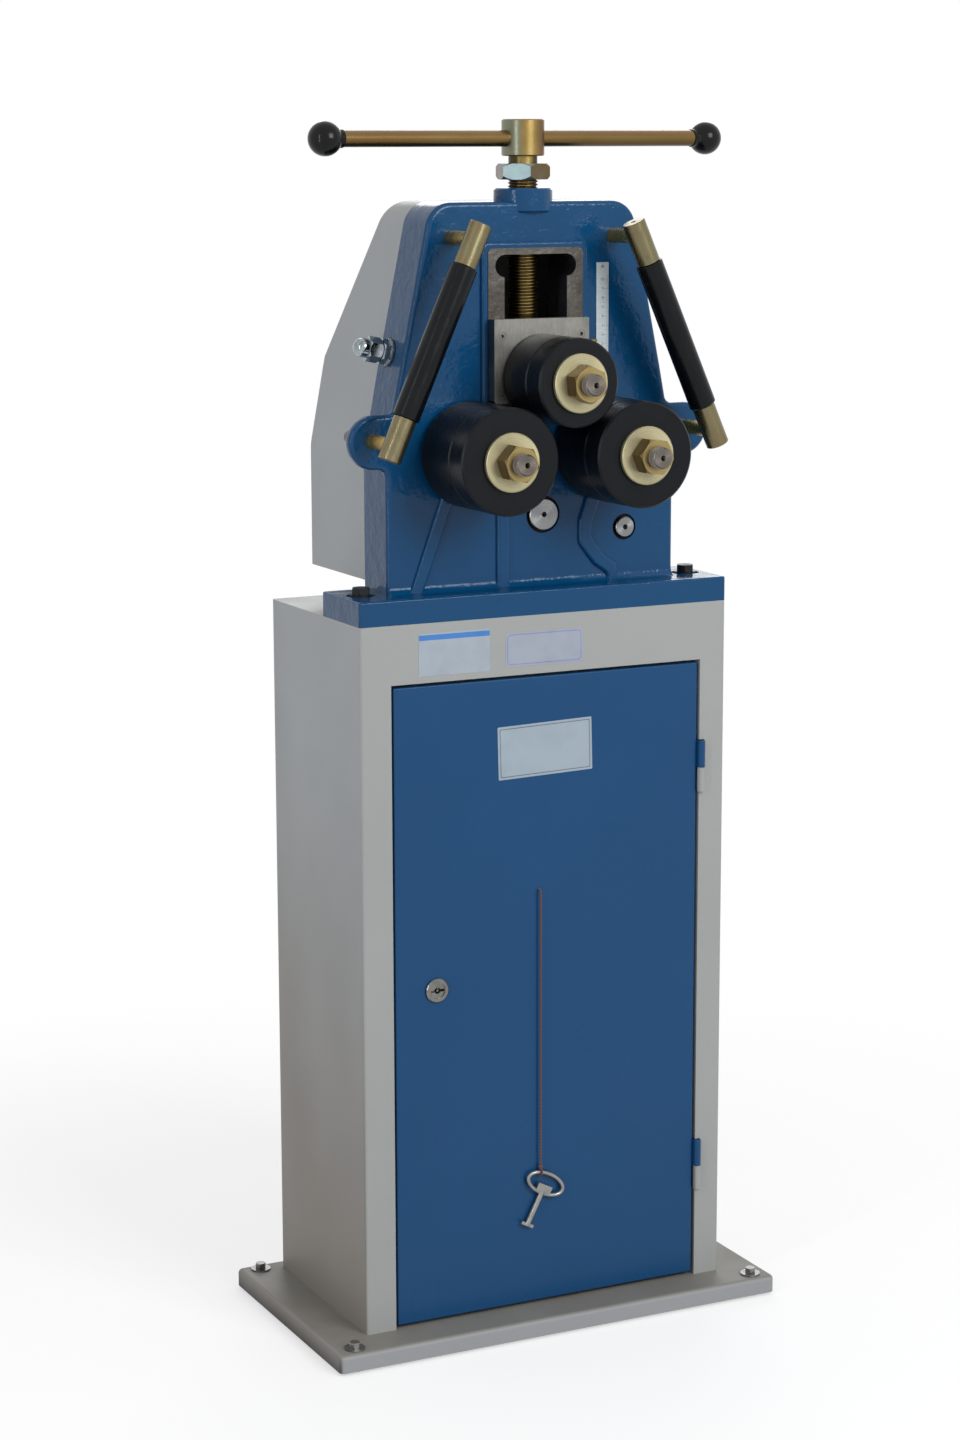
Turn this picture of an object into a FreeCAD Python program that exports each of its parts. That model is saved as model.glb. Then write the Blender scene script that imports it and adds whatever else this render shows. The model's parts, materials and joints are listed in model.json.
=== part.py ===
import FreeCAD, Part
import math
import os

# Ring roller on a cabinet stand.  Millimetres, +Z up, -Y is the front (roller side), +X is the
# operator's right when facing the rollers.  The origin is on the floor, at the middle of the base.

V = FreeCAD.Vector
X = (1, 0, 0)
Y = (0, 1, 0)
Z = (0, 0, 1)
DOWN = (0, 0, -1)

# ---------------------------------------------------------------- fits
TIGHT = 0.02       # radial gap of pieces that are pressed or bolted together
RUNNING = 0.05     # radial gap of a shaft that turns in a bush
SLIDING = 0.15     # gap between flat faces that slide on each other
BOLT_SLACK = 0.5   # radial gap of a bolt in its clearance hole

# ---------------------------------------------------------------- base and cabinet
BASE_WIDTH = 552.0
BASE_FRONT = -149.0
BASE_BACK = 155.0
BASE_TOP = 23.0
BASE_RIM_BOTTOM = 3.0
BASE_SHEET = 3.0
BASE_CORNER_RADIUS = 6.0
BASE_EDGE_RADIUS = 5.0
FOOT_RADIUS = 12.8
FOOT_CHAMFER = 2.6
FOOT_BOLT_DEPTH = 6.0                # the bolt's hole starts this far above the floor
BASE_BOLT_X = 252.5
BASE_BOLT_INSET = 16.5
BASE_BOLT_RADIUS = 3.5
BASE_BOLT_FLATS = 11.0
BASE_BOLT_HEAD = 6.0
BASE_WASHER_RADIUS = 11.5
BASE_WASHER_THICKNESS = 2.0

CABINET_WIDTH = 450.0
CABINET_FRONT = -104.0
CABINET_BACK = 139.0
CABINET_HEIGHT = 793.0
CABINET_TOP = BASE_TOP + CABINET_HEIGHT
SHEET = 2.0
FOLD_RADIUS = 3.5
OPENING_LEFT = -189.0
OPENING_RIGHT = 193.0
OPENING_TOP = BASE_TOP + 728.0
REBATE_DEPTH = 22.0
REBATE_LIP = 18.0
REBATE_NOTCH_FLOOR = 6.0             # what is left of the rebate behind a hinge
STIFFENER_THICKNESS = 8.0
STIFFENER_GAP = 4.0                  # to the cabinet's walls

DOOR_LEFT = -186.0
DOOR_RIGHT = 190.0
DOOR_BOTTOM = BASE_TOP + 4.0
DOOR_TOP = BASE_TOP + 724.5
DOOR_FRONT = CABINET_FRONT + 1.0
DOOR_SHEET = 1.5
DOOR_FOLD = 15.0

HINGE_X = 194.5
HINGE_Y = CABINET_FRONT - 2.0
HINGE_RADIUS = 4.5
HINGE_PIN_RADIUS = 2.5
HINGE_KNUCKLE = 30.0
HINGE_SPLIT_Z = (BASE_TOP + 134.0, BASE_TOP + 605.0)
HINGE_GAP = 0.5
HINGE_NOTCH = 4.5
HINGE_LEAF_DEPTH = 8.0
HINGE_LOWER_TRIM = 2.0               # the lower knuckle is this much shorter
HINGE_BORE_END = 3.0                 # closed top of the upper knuckle

LOCK_X = -136.7
LOCK_Z = BASE_TOP + 384.6
LOCK_BEZEL_RADIUS = 13.5
LOCK_BEZEL_PROUD = 3.5
LOCK_BODY_RADIUS = 12.0
LOCK_CORE_RADIUS = 9.0
LOCK_CORE_RECESS = 1.2
LOCK_NUT_FLATS = 28.0
LOCK_NUT_THICKNESS = 4.0
LOCK_SOCKET_DEPTH = 11.0
LOCK_POST_RADIUS = 1.2
LOCK_STUB_HALF = 3.0                 # square end of the core that carries the cam
CAM_LENGTH = 52.0
CAM_WIDTH = 16.0
CAM_THICKNESS = 3.0
CAM_FRONT = CABINET_FRONT + REBATE_DEPTH + 1.5
LOCK_BIT_WIDTH = 3.0

# ---------------------------------------------------------------- key on its cord
CORD_RADIUS = 1.1
CORD_X = -10.4
CORD_HOLE_Z = BASE_TOP + 484.8
CORD_BEND_RADIUS = 3.0
KEY_Y = DOOR_FRONT - 4.8
KEY_X = -4.1
KEY_Z = BASE_TOP + 143.0
KEY_TILT = 27.5
BOW_LONG = 23.8       # half axes of the bow's centre line
BOW_SHORT = 11.6
BOW_WIRE_RADIUS = 2.25
BOW_HANG_ANGLE = 121.05
KEY_STEM_RADIUS = 3.2
KEY_STEM_LENGTH = 42.3
KEY_BIT_LENGTH = 16.0
KEY_BIT_HALF_THICKNESS = 1.4
KEY_BIT_HEIGHT = 3.5
KEY_BOSS_HALF_WIDTH = 9.5
KEY_BOSS_HALF_THICKNESS = 2.6
KEY_BOSS_HEIGHT = 9.0
KEY_BOSS_RAISE = 1.3                 # lower face of the boss above the bow's lowest centre line
KNOT_RADIUS = 2.6
KNOT_FLAT = 0.5                      # the cord leaves the knot from a small flat

# ---------------------------------------------------------------- head casting
FACE = CABINET_FRONT + 35.0          # front face of the casting
CAST_BACK = -9.0
EAR_BACK = FACE + 8.0
FLANGE_FRONT = CABINET_FRONT
FLANGE_BACK = -4.0
FLANGE_TOP = CABINET_TOP + 27.0
FLANGE_EDGE_RADIUS = 2.0
FLANGE_CORNER_RADIUS = 3.0
CAST_HALF_WIDTH = 176.0
CAST_SHOULDER_Z = 990.0              # the sides lean inward above this
CAST_WAIST = (160.0, 1075.0)
CAST_TOP = 1260.0
CAST_TOP_HALF = 121.8
CAST_TOP_RADIUS = 30.0
CAST_EDGE_RADIUS = 5.0
EAR_X = 190.0
EAR_Z = 1008.0
EAR_RADIUS = 29.0
EAR_ROOT_X = 167.4                   # where the top of an ear meets the casting's side
EAR_BOSS_THICKNESS = 7.0             # round boss behind each ear, rounded all round
CAST_WALL = 14.0
CAST_FRONT_WALL = 24.0
FOOT_FILLET_RADIUS = 9.0
SCREW_BOSS_RADIUS = 32.0
SCREW_BOSS_TOP = 1274.0
SCREW_BOSS_BOTTOM = 1248.0
RIB_TOP = 946.0                      # the ribs run up behind the rollers to here
RIB_ROOT = 6.0                       # how far they reach into the casting's front wall
RIB_PROUD = 5.0
RIB_EDGE_RADIUS = 4.5
HEAD_BOLT_X = 201.0
HEAD_BOLT_Y = CABINET_FRONT + 50.0
HEAD_BOLT_RADIUS = 6.0
HEAD_BOLT_FLATS = 18.0
HEAD_BOLT_HEAD = 8.0
HEAD_BOLT_NUT = 10.0
HEAD_BOLT_END = 14.0                 # below the stiffener plate
HEAD_WASHER_RADIUS = 12.0
HEAD_WASHER_THICKNESS = 2.5
SPOT_FACE_RADIUS = 16.0
SPOT_FACE_DEPTH = 1.5

# ---------------------------------------------------------------- slide way and slide
WINDOW_HALF = 38.0
WINDOW_BOTTOM = 1030.0
WINDOW_TOP = 1204.0
RELIEF_RADIUS = 12.0
RELIEF_X = 37.0
PAD_HALF = 64.0
PAD_TOP = 1217.5
PAD_BOTTOM = 1026.0
PAD_FACE = FACE - 5.0
WAY_HALF = 57.5
WAY_TOP = 1211.0
WAY_FACE = FACE - 6.0
RAIL_BACK = WAY_FACE + 20.0
POCKET_LEFT = -54.0
POCKET_RIGHT = 50.15
COLUMN_BOTTOM = 1012.0
COLUMN_HALF = 66.0
GIB_THICKNESS = 3.8

ROLLER_AXIS_TOP = 1072.0             # upper roller's axis at rest
PLATE_TOP = 1136.0
PLATE_BOTTOM = 1046.0
PLATE_THICKNESS = 14.5
PLATE_HALF = 57.5
BLOCK_TOP = 1130.0
BLOCK_BOTTOM = 1046.0
BLOCK_BACK = -14.0
BLOCK_HALF = 50.0
PLATE_SCREW_X = 48.0
PLATE_SCREW_TOP_Z = 1118.0
PLATE_SCREW_BOTTOM_Z = 1053.0
PLATE_SCREW_RADIUS = 2.5
PLATE_SCREW_HEAD_RADIUS = 4.2
PLATE_SCREW_HEAD = 6.0
PLATE_SCREW_SUNK = 0.2
PLATE_SCREW_SOCKET_FLATS = 4.0
PLATE_SCREW_SOCKET_DEPTH = 3.0

# ---------------------------------------------------------------- feed screw and its handle
SCREW_Y = CABINET_FRONT + 60.0
SCREW_RADIUS = 16.5
JOURNAL_RADIUS = 11.0
COLLAR_RADIUS = 15.0
COLLAR_HEIGHT = 9.0
COLLAR_TOP = BLOCK_TOP - 8.0
SCREW_NECK_RADIUS = 15.7
FLANGE_RING_RADIUS = 18.5
FLANGE_RING_HEIGHT = 5.0
LOCK_NUT_BOTTOM = 1283.0
LOCK_NUT_TOP = 1300.0
SCREW_NUT_FLATS = 52.5
HUB_RADIUS = 23.2
HUB_BOTTOM = 1308.0
HUB_TOP = 1347.0
SPIGOT_RADIUS = 12.0                 # end of the feed screw inside the hub
SPIGOT_LENGTH = 9.0
BAR_Z = 1326.6
BAR_RADIUS = 8.8
BAR_HALF = 250.0
LOCK_NUT_TURN = 18.8
BAR_TURN = 8.0
BALL_RADIUS = 18.2
BALL_NECK_RADIUS = 9.8
BALL_NECK_LENGTH = 1.8
BAR_IN_BALL = 14.0

# ---------------------------------------------------------------- rollers and shafts
LOWER_X = 81.0
LOWER_Z = 992.0
LOWER_RADIUS = 57.5
UPPER_RADIUS = 47.5
ROLLER_FRONT = -175.0
RING_BACK = -143.5
LOWER_BACK = -75.0
UPPER_BACK = -91.5
ROLLER_CHAMFER = 2.0
SHAFT_RADIUS = 15.0
SHOULDER_RADIUS = 22.0
SHAFT_TIP = -214.0
THREAD_RADIUS = 11.9
CENTRE_HOLE_RADIUS = 3.0
CENTRE_HOLE_TIP = 0.5
CENTRE_HOLE_DEPTH = 7.0
WASHER_RADIUS = 31.5
WASHER_THICKNESS = 6.0
NUT_FLATS = 36.0
NUT_THICKNESS = 21.0
KEY_WIDTH = 8.0
KEY_HEIGHT = 3.3
BUSH_WALL = 3.0
BUSH_LENGTH = 22.0
BUSH_INSET = 3.0
BEARING_BOSS_WALL = 17.0             # round each shaft, inside the casting
UPPER_BUSH_LENGTH = 24.0
SHAFT_PROUD = 3.0                    # plain shaft ends stand out of the casting's face

# ---------------------------------------------------------------- gear train
MODULE = 3.0
PRESSURE_ANGLE = math.radians(20.0)
TOOTH_THINNING = 0.25
LEFT_TEETH = 52
LEFT_PINION_TEETH = 26
RIGHT_TEETH = 44
RIGHT_PINION_TEETH = 22
IDLER_TEETH = 41
DRIVE_TEETH = 28
GEAR_WIDTH = 20.0
LEFT_PLANE = 0.0        # front faces of the three gear planes
RIGHT_PLANE = 26.0
DRIVE_PLANE = 52.0
IDLER_X = 12.0
IDLER_Z = 921.0
IDLER_RADIUS = 17.5
DRIVE_X = 113.65
DRIVE_Z = 901.5
DRIVE_RADIUS = 11.5
DRIVE_STUB_RADIUS = 10.0
DRIVE_STUB_START = 155.0
DRIVE_END = 214.0
KEYWAY_LENGTH = 22.0
KEYWAY_WIDTH = 6.0
KEYWAY_DEPTH = 3.5

# ---------------------------------------------------------------- rear cover
COVER_BOTTOM = 853.0
COVER_BACK = 139.0
COVER_SLOPE_START = 1087.0
COVER_TOP_BACK = 44.0
COVER_SHEET = 1.5
COVER_EDGE_RADIUS = 3.0
POST_RADIUS = 5.0
POST_STUD_RADIUS = 3.0
POST_STUD_LENGTH = 10.0
POST_BOSS_RADIUS = 12.0               # bosses of the casting that take the posts
POST_SPOTS = ((-158.0, 870.0), (160.0, 868.0), (-146.0, 1056.0), (146.0, 1056.0))
BEARING_RADIUS = 29.0
BEARING_SCREW_RADIUS = 22.5
BEARING_PROUD = 12.0
BEARING_FLANGE = 5.0
BEARING_HUB_WALL = 6.0
BEARING_DEPTH = 10.0
COVER_SCREW_RADIUS = 2.5
COVER_SCREW_HEAD_RADIUS = 5.0
COVER_SCREW_HEAD = 3.5
COVER_SCREW_LENGTH = 15.0
BEARING_SCREW_HEAD_RADIUS = 4.2
BEARING_SCREW_HEAD = 3.0
BEARING_SCREW_LENGTH = 13.0

# ---------------------------------------------------------------- scale, side handles, gib screw
SCALE_X = (77.0, 92.0)
SCALE_Z = (1070.0, 1193.5)
SCALE_THICKNESS = 1.0
POINTER_Z = 1109.5
POINTER_SHANK = 4.0
POINTER_RADIUS = 2.5
POINTER_LENGTH = 14.0
POINTER_TIP = 4.0

HANDLE_Y = CABINET_FRONT - 22.0
HANDLE_UPPER = (98.3, 1222.6)        # where the stand-off pins meet the bars
HANDLE_LOWER = (192.7, 1010.0)
HANDLE_PIN_RADIUS = 8.0
HANDLE_PIN_DEPTH = 15.0
HANDLE_STUD_END = -12.0              # the lower pins pass through the ears to here
HANDLE_NUT_FLATS = 24.0
HANDLE_NUT_THICKNESS = 13.0
HANDLE_BLOCK_RADIUS = 12.5
HANDLE_BLOCK_OUT = 17.0
HANDLE_BLOCK_IN = 31.0
HANDLE_ROD_RADIUS = 7.0
HANDLE_ROD_IN_BLOCK = 15.0
BLOCK_HOLE_RADIUS = 3.0
BLOCK_HOLE_DEPTH = 7.0
GRIP_RADIUS = 14.7

GIB_SCREW_Y = -31.0
GIB_SCREW_Z = 1100.5                 # where its axis leaves the casting's sloping left side
GIB_SCREW_RADIUS = 8.0
GIB_WASHER_RADIUS = 15.0
GIB_WASHER_THICKNESS = 3.0
GIB_NUT_FLATS = 24.0
GIB_JAM_NUT = 9.0
GIB_BARE_STUD = 1.0
GIB_CAP_HEX = 15.0
GIB_CAP_HOLE = 20.0
GIB_DOME_RADIUS = 10.4
GIB_DOME_LENGTH = 15.0
GIB_TUNNEL_RADIUS = 16.0
GIB_SEAT_DEPTH = 0.6                 # the washer's seat is spot-faced into the side
GIB_STUD_DEPTH = 101.0               # from the seat to the gib strip


# ================================================================ shape helpers
def box(x, y, z):
    """Box between three (low, high) pairs."""
    return Part.makeBox(x[1] - x[0], y[1] - y[0], z[1] - z[0], V(x[0], y[0], z[0]))


def rod(radius, start, axis, length):
    """Round bar from start along axis."""
    return Part.makeCylinder(radius, length, V(*start), V(*axis))


def tube(outer, inner, start, axis, length):
    """Round bar with a hole right through."""
    return rod(outer, start, axis, length).cut(rod(inner, start, axis, length))


def laid(shape, start, axis):
    """A shape that was built along +Z from the origin, laid along axis from start."""
    shape.Placement = FreeCAD.Placement(V(*start), FreeCAD.Rotation(V(0, 0, 1), V(*axis)))
    return shape


def chamfered_rod(radius, start, axis, length, size):
    """Round bar with both end rims chamfered."""
    bar = Part.makeCylinder(radius, length)
    rims = [edge for edge in bar.Edges if len(edge.Vertexes) == 1]
    return laid(bar.makeChamfer(size, rims), start, axis)


def hexagon(across_flats, start, axis, length):
    """Hexagonal bar with its corners chamfered at both ends."""
    corner = across_flats / math.sqrt(3.0)
    points = []
    for step in range(7):
        angle = math.radians(60.0 * step)
        points.append(V(corner * math.cos(angle), corner * math.sin(angle), 0))
    prism = Part.Face(Part.makePolygon(points)).extrude(V(0, 0, length))
    envelope = Part.makeCylinder(corner, length)
    rims = [edge for edge in envelope.Edges if len(edge.Vertexes) == 1]
    envelope = envelope.makeChamfer((corner - across_flats / 2.0) * 0.9, rims)
    return laid(prism.common(envelope), start, axis)


def rounded_face(points, radii, to_space):
    """Face inside 2D points, each corner rounded by its own radius (0 leaves it sharp)."""
    count = len(points)
    corners = []
    for index in range(count):
        corner = V(points[index][0], points[index][1], 0)
        back = V(points[index - 1][0], points[index - 1][1], 0) - corner
        ahead = V(points[(index + 1) % count][0], points[(index + 1) % count][1], 0) - corner
        back.normalize()
        ahead.normalize()
        radius = radii[index]
        if radius == 0:
            corners.append((corner, None, corner))
            continue
        half = back.getAngle(ahead) / 2.0
        middle = back + ahead
        middle.normalize()
        reach = radius / math.tan(half)
        centre = corner + middle * (radius / math.sin(half))
        corners.append((corner + back * reach, centre - middle * radius, corner + ahead * reach))
    edges = []
    for index in range(count):
        start, bend, end = [p if p is None else to_space(p.x, p.y) for p in corners[index]]
        following = to_space(*corners[(index + 1) % count][0][:2])
        if bend is not None:
            edges.append(Part.Arc(start, bend, end).toShape())
        if (following - end).Length > 1e-6:
            edges.append(Part.LineSegment(end, following).toShape())
    return Part.Face(Part.Wire(edges))


def plate_xz(points, radii, y):
    """Upright plate, drawn as seen from the front, between y[0] and y[1]."""
    face = rounded_face(points, radii, lambda a, b: V(a, y[0], b))
    return face.extrude(V(0, y[1] - y[0], 0))


def plate_xy(points, radii, z):
    """Flat plate, drawn as seen from above, between z[0] and z[1]."""
    face = rounded_face(points, radii, lambda a, b: V(a, b, z[0]))
    return face.extrude(V(0, 0, z[1] - z[0]))


def mirrored(points):
    """Right half of an outline, bottom to top, with its mirror image added."""
    return list(points) + [(-x, z) for x, z in reversed(points)]


def edges_in_plane(shape, low_name, high_name, value):
    """Edges whose bounding box is flat at value, such as YMin and YMax."""
    found = []
    for edge in shape.Edges:
        low = getattr(edge.BoundBox, low_name)
        high = getattr(edge.BoundBox, high_name)
        if abs(low - value) < 1e-4 and abs(high - value) < 1e-4:
            found.append(edge)
    return found


def soften_front(shape, radius, y):
    """Round the edges that lie in the plane at y."""
    return shape.makeFillet(radius, edges_in_plane(shape, "YMin", "YMax", y))


def soften_level(shape, radius, z):
    """Round the edges that lie at height z."""
    return shape.makeFillet(radius, edges_in_plane(shape, "ZMin", "ZMax", z))


def fused(shapes):
    """One solid from several that touch or overlap."""
    whole = shapes[0]
    for shape in shapes[1:]:
        whole = whole.fuse(shape)
    return whole.removeSplitter()


def group(shapes):
    """Separate solids kept together in one node."""
    return Part.makeCompound(shapes)


# ================================================================ base
def base_bolt_spots():
    """Where the base bolts stand: x, y."""
    spots = []
    for x in (-BASE_BOLT_X, BASE_BOLT_X):
        for y in (BASE_FRONT + BASE_BOLT_INSET, BASE_BACK - BASE_BOLT_INSET):
            spots.append((x, y))
    return spots


def base_outline(inset):
    """Base seen from above, reduced by inset on every side."""
    half = BASE_WIDTH / 2.0 - inset
    front = BASE_FRONT + inset
    back = BASE_BACK - inset
    return [(-half, front), (half, front), (half, back), (-half, back)]


def base_plate():
    """Pressed tray, open below, that the cabinet is welded to."""
    outer = plate_xy(base_outline(0.0), [BASE_CORNER_RADIUS] * 4, (BASE_RIM_BOTTOM, BASE_TOP))
    outer = soften_level(outer, BASE_EDGE_RADIUS, BASE_TOP)
    inner_radius = BASE_CORNER_RADIUS - BASE_SHEET
    inner_span = (BASE_RIM_BOTTOM - 1.0, BASE_TOP - BASE_SHEET)
    inner = plate_xy(base_outline(BASE_SHEET), [inner_radius] * 4, inner_span)
    inner = soften_level(inner, BASE_EDGE_RADIUS - BASE_SHEET, BASE_TOP - BASE_SHEET)
    tray = outer.cut(inner)
    for x, y in base_bolt_spots():
        tray = tray.cut(rod(BASE_BOLT_RADIUS + BOLT_SLACK, (x, y, 0), Z, BASE_TOP + 1.0))
    return tray


def rubber_feet():
    """Round rubber feet inside the tray's corners."""
    feet = []
    height = BASE_TOP - BASE_SHEET
    for x, y in base_bolt_spots():
        foot = chamfered_rod(FOOT_RADIUS, (x, y, 0), Z, height, FOOT_CHAMFER)
        hole = rod(BASE_BOLT_RADIUS + TIGHT, (x, y, FOOT_BOLT_DEPTH), Z, height)
        feet.append(foot.cut(hole))
    return group(feet)


def base_bolts():
    """Hexagon bolts with washers that hold the feet under the tray."""
    pieces = []
    head_bottom = BASE_TOP + BASE_WASHER_THICKNESS
    shank_bottom = FOOT_BOLT_DEPTH + 1.0
    for x, y in base_bolt_spots():
        hole = BASE_BOLT_RADIUS + BOLT_SLACK
        pieces.append(tube(BASE_WASHER_RADIUS, hole, (x, y, BASE_TOP), Z, BASE_WASHER_THICKNESS))
        head = hexagon(BASE_BOLT_FLATS, (x, y, head_bottom), Z, BASE_BOLT_HEAD)
        shank = rod(BASE_BOLT_RADIUS, (x, y, shank_bottom), Z, head_bottom - shank_bottom)
        pieces.append(head.fuse(shank))
    return group(pieces)


# ================================================================ cabinet
def hinge_notches():
    """Cut-outs in the right stile where the hinge knuckles sit."""
    notches = []
    for split in HINGE_SPLIT_Z:
        x = (OPENING_RIGHT - 1.0, HINGE_X + HINGE_NOTCH + 0.5)
        y = (CABINET_FRONT - 1.0, CABINET_FRONT + REBATE_DEPTH - REBATE_NOTCH_FLOOR)
        z = (split - HINGE_KNUCKLE + 1.0, split + HINGE_KNUCKLE + 1.0)
        notches.append(box(x, y, z))
    return notches


def cabinet_shell():
    """Folded and welded sheet: two sides, back, top and front frame with a door rebate."""
    half = CABINET_WIDTH / 2.0
    depth = (CABINET_FRONT, CABINET_BACK)
    outline = [(-half, depth[0]), (half, depth[0]), (half, depth[1]), (-half, depth[1])]
    outer = plate_xy(outline, [FOLD_RADIUS] * 4, (BASE_TOP, CABINET_TOP))
    inner_outline = [(-half + SHEET, depth[0] + SHEET), (half - SHEET, depth[0] + SHEET),
                     (half - SHEET, depth[1] - SHEET), (-half + SHEET, depth[1] - SHEET)]
    inner = plate_xy(inner_outline, [FOLD_RADIUS - SHEET] * 4, (BASE_TOP - 1.0, CABINET_TOP - SHEET))
    shell = outer.cut(inner)
    front = (CABINET_FRONT - 1.0, CABINET_FRONT + SHEET + 1.0)
    shell = shell.cut(box((OPENING_LEFT, OPENING_RIGHT), front, (BASE_TOP - 1.0, OPENING_TOP)))
    back = CABINET_FRONT + REBATE_DEPTH
    wall_y = (CABINET_FRONT + 1.0, back)
    lip_y = (back - SHEET, back)
    tall = (BASE_TOP, OPENING_TOP + SHEET)
    frame = [
        box((OPENING_LEFT - SHEET, OPENING_LEFT), wall_y, tall),
        box((OPENING_LEFT - SHEET, OPENING_LEFT + REBATE_LIP), lip_y, tall),
        box((OPENING_RIGHT, OPENING_RIGHT + SHEET), wall_y, tall),
        box((OPENING_RIGHT - REBATE_LIP, OPENING_RIGHT + SHEET), lip_y, tall),
        box((OPENING_LEFT, OPENING_RIGHT), wall_y, (OPENING_TOP, OPENING_TOP + SHEET)),
        box((OPENING_LEFT, OPENING_RIGHT), lip_y, (OPENING_TOP - REBATE_LIP, OPENING_TOP + SHEET)),
    ]
    shell = fused([shell] + frame)
    for notch in hinge_notches():
        shell = shell.cut(notch)
    for x in (-HEAD_BOLT_X, HEAD_BOLT_X):
        hole = HEAD_BOLT_RADIUS + BOLT_SLACK
        shell = shell.cut(rod(hole, (x, HEAD_BOLT_Y, CABINET_TOP - 10.0), Z, 20.0))
    return shell


def top_stiffener():
    """Thick plate under the cabinet's top that carries the head."""
    half = CABINET_WIDTH / 2.0 - SHEET - STIFFENER_GAP
    z = (CABINET_TOP - SHEET - STIFFENER_THICKNESS, CABINET_TOP - SHEET)
    plate = box((-half, half), (CABINET_FRONT + SHEET + 2.0, FLANGE_BACK), z)
    for x in (-HEAD_BOLT_X, HEAD_BOLT_X):
        hole = HEAD_BOLT_RADIUS + BOLT_SLACK
        plate = plate.cut(rod(hole, (x, HEAD_BOLT_Y, z[0] - 1.0), Z, STIFFENER_THICKNESS + 2.0))
    return plate


def hinge_lower_halves():
    """Lower knuckles with their pins, welded to the stile on small leaves."""
    halves = []
    for split in HINGE_SPLIT_Z:
        bottom = split - HINGE_KNUCKLE + HINGE_LOWER_TRIM
        height = HINGE_KNUCKLE - HINGE_LOWER_TRIM - HINGE_GAP
        knuckle = rod(HINGE_RADIUS, (HINGE_X, HINGE_Y, bottom), Z, height)
        pin = rod(HINGE_PIN_RADIUS, (HINGE_X, HINGE_Y, bottom), Z, height + HINGE_KNUCKLE - 5.0)
        leaf_x = (HINGE_X + 1.0, HINGE_X + HINGE_NOTCH + 0.5)
        leaf_y = (HINGE_Y, CABINET_FRONT + HINGE_LEAF_DEPTH)
        leaf = box(leaf_x, leaf_y, (bottom, bottom + height))
        halves.append(fused([knuckle, pin, leaf]))
    return group(halves)


# ================================================================ door, lock and key
def door_panel():
    """Folded pan with its edges turned back."""
    y = (DOOR_FRONT, DOOR_FRONT + DOOR_FOLD)
    outline = [(DOOR_LEFT, DOOR_BOTTOM), (DOOR_RIGHT, DOOR_BOTTOM),
               (DOOR_RIGHT, DOOR_TOP), (DOOR_LEFT, DOOR_TOP)]
    pan = plate_xz(outline, [1.0] * 4, y)
    pan = soften_front(pan, DOOR_SHEET, DOOR_FRONT)
    inside_x = (DOOR_LEFT + DOOR_SHEET, DOOR_RIGHT - DOOR_SHEET)
    inside_z = (DOOR_BOTTOM + DOOR_SHEET, DOOR_TOP - DOOR_SHEET)
    pan = pan.cut(box(inside_x, (DOOR_FRONT + DOOR_SHEET, y[1] + 1.0), inside_z))
    lock_hole = rod(LOCK_BODY_RADIUS + TIGHT, (LOCK_X, DOOR_FRONT - 5.0, LOCK_Z), Y, 10.0)
    cord_hole = rod(CORD_RADIUS + 0.1, (CORD_X, DOOR_FRONT - 5.0, CORD_HOLE_Z), Y, 10.0)
    return pan.cut(lock_hole).cut(cord_hole)


def hinge_upper_halves():
    """Upper knuckles, welded to the door's folded edge on small leaves."""
    halves = []
    for split in HINGE_SPLIT_Z:
        knuckle = rod(HINGE_RADIUS, (HINGE_X, HINGE_Y, split), Z, HINGE_KNUCKLE)
        leaf_z = (split, split + HINGE_KNUCKLE)
        leaf_y = (HINGE_Y, DOOR_FRONT + HINGE_LEAF_DEPTH)
        leaf = box((DOOR_RIGHT, HINGE_X - 1.0), leaf_y, leaf_z)
        depth = HINGE_KNUCKLE - HINGE_BORE_END
        bore = rod(HINGE_PIN_RADIUS + RUNNING, (HINGE_X, HINGE_Y, split), Z, depth)
        halves.append(fused([knuckle, leaf]).cut(bore))
    return group(halves)


def lock_housing():
    """Chromed housing and, behind the door, its nut."""
    bezel_front = DOOR_FRONT - LOCK_BEZEL_PROUD
    bezel = chamfered_rod(LOCK_BEZEL_RADIUS, (LOCK_X, bezel_front, LOCK_Z), Y, LOCK_BEZEL_PROUD, 1.0)
    body_length = CAM_FRONT - 0.4 - DOOR_FRONT
    body = rod(LOCK_BODY_RADIUS, (LOCK_X, DOOR_FRONT, LOCK_Z), Y, body_length)
    bore = rod(LOCK_CORE_RADIUS + RUNNING, (LOCK_X, bezel_front - 1.0, LOCK_Z), Y, 60.0)
    housing = fused([bezel, body]).cut(bore)
    nut_start = (LOCK_X, DOOR_FRONT + DOOR_SHEET, LOCK_Z)
    nut = hexagon(LOCK_NUT_FLATS, nut_start, Y, LOCK_NUT_THICKNESS)
    nut = nut.cut(rod(LOCK_BODY_RADIUS + TIGHT, nut_start, Y, LOCK_NUT_THICKNESS))
    return group([housing, nut])


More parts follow.
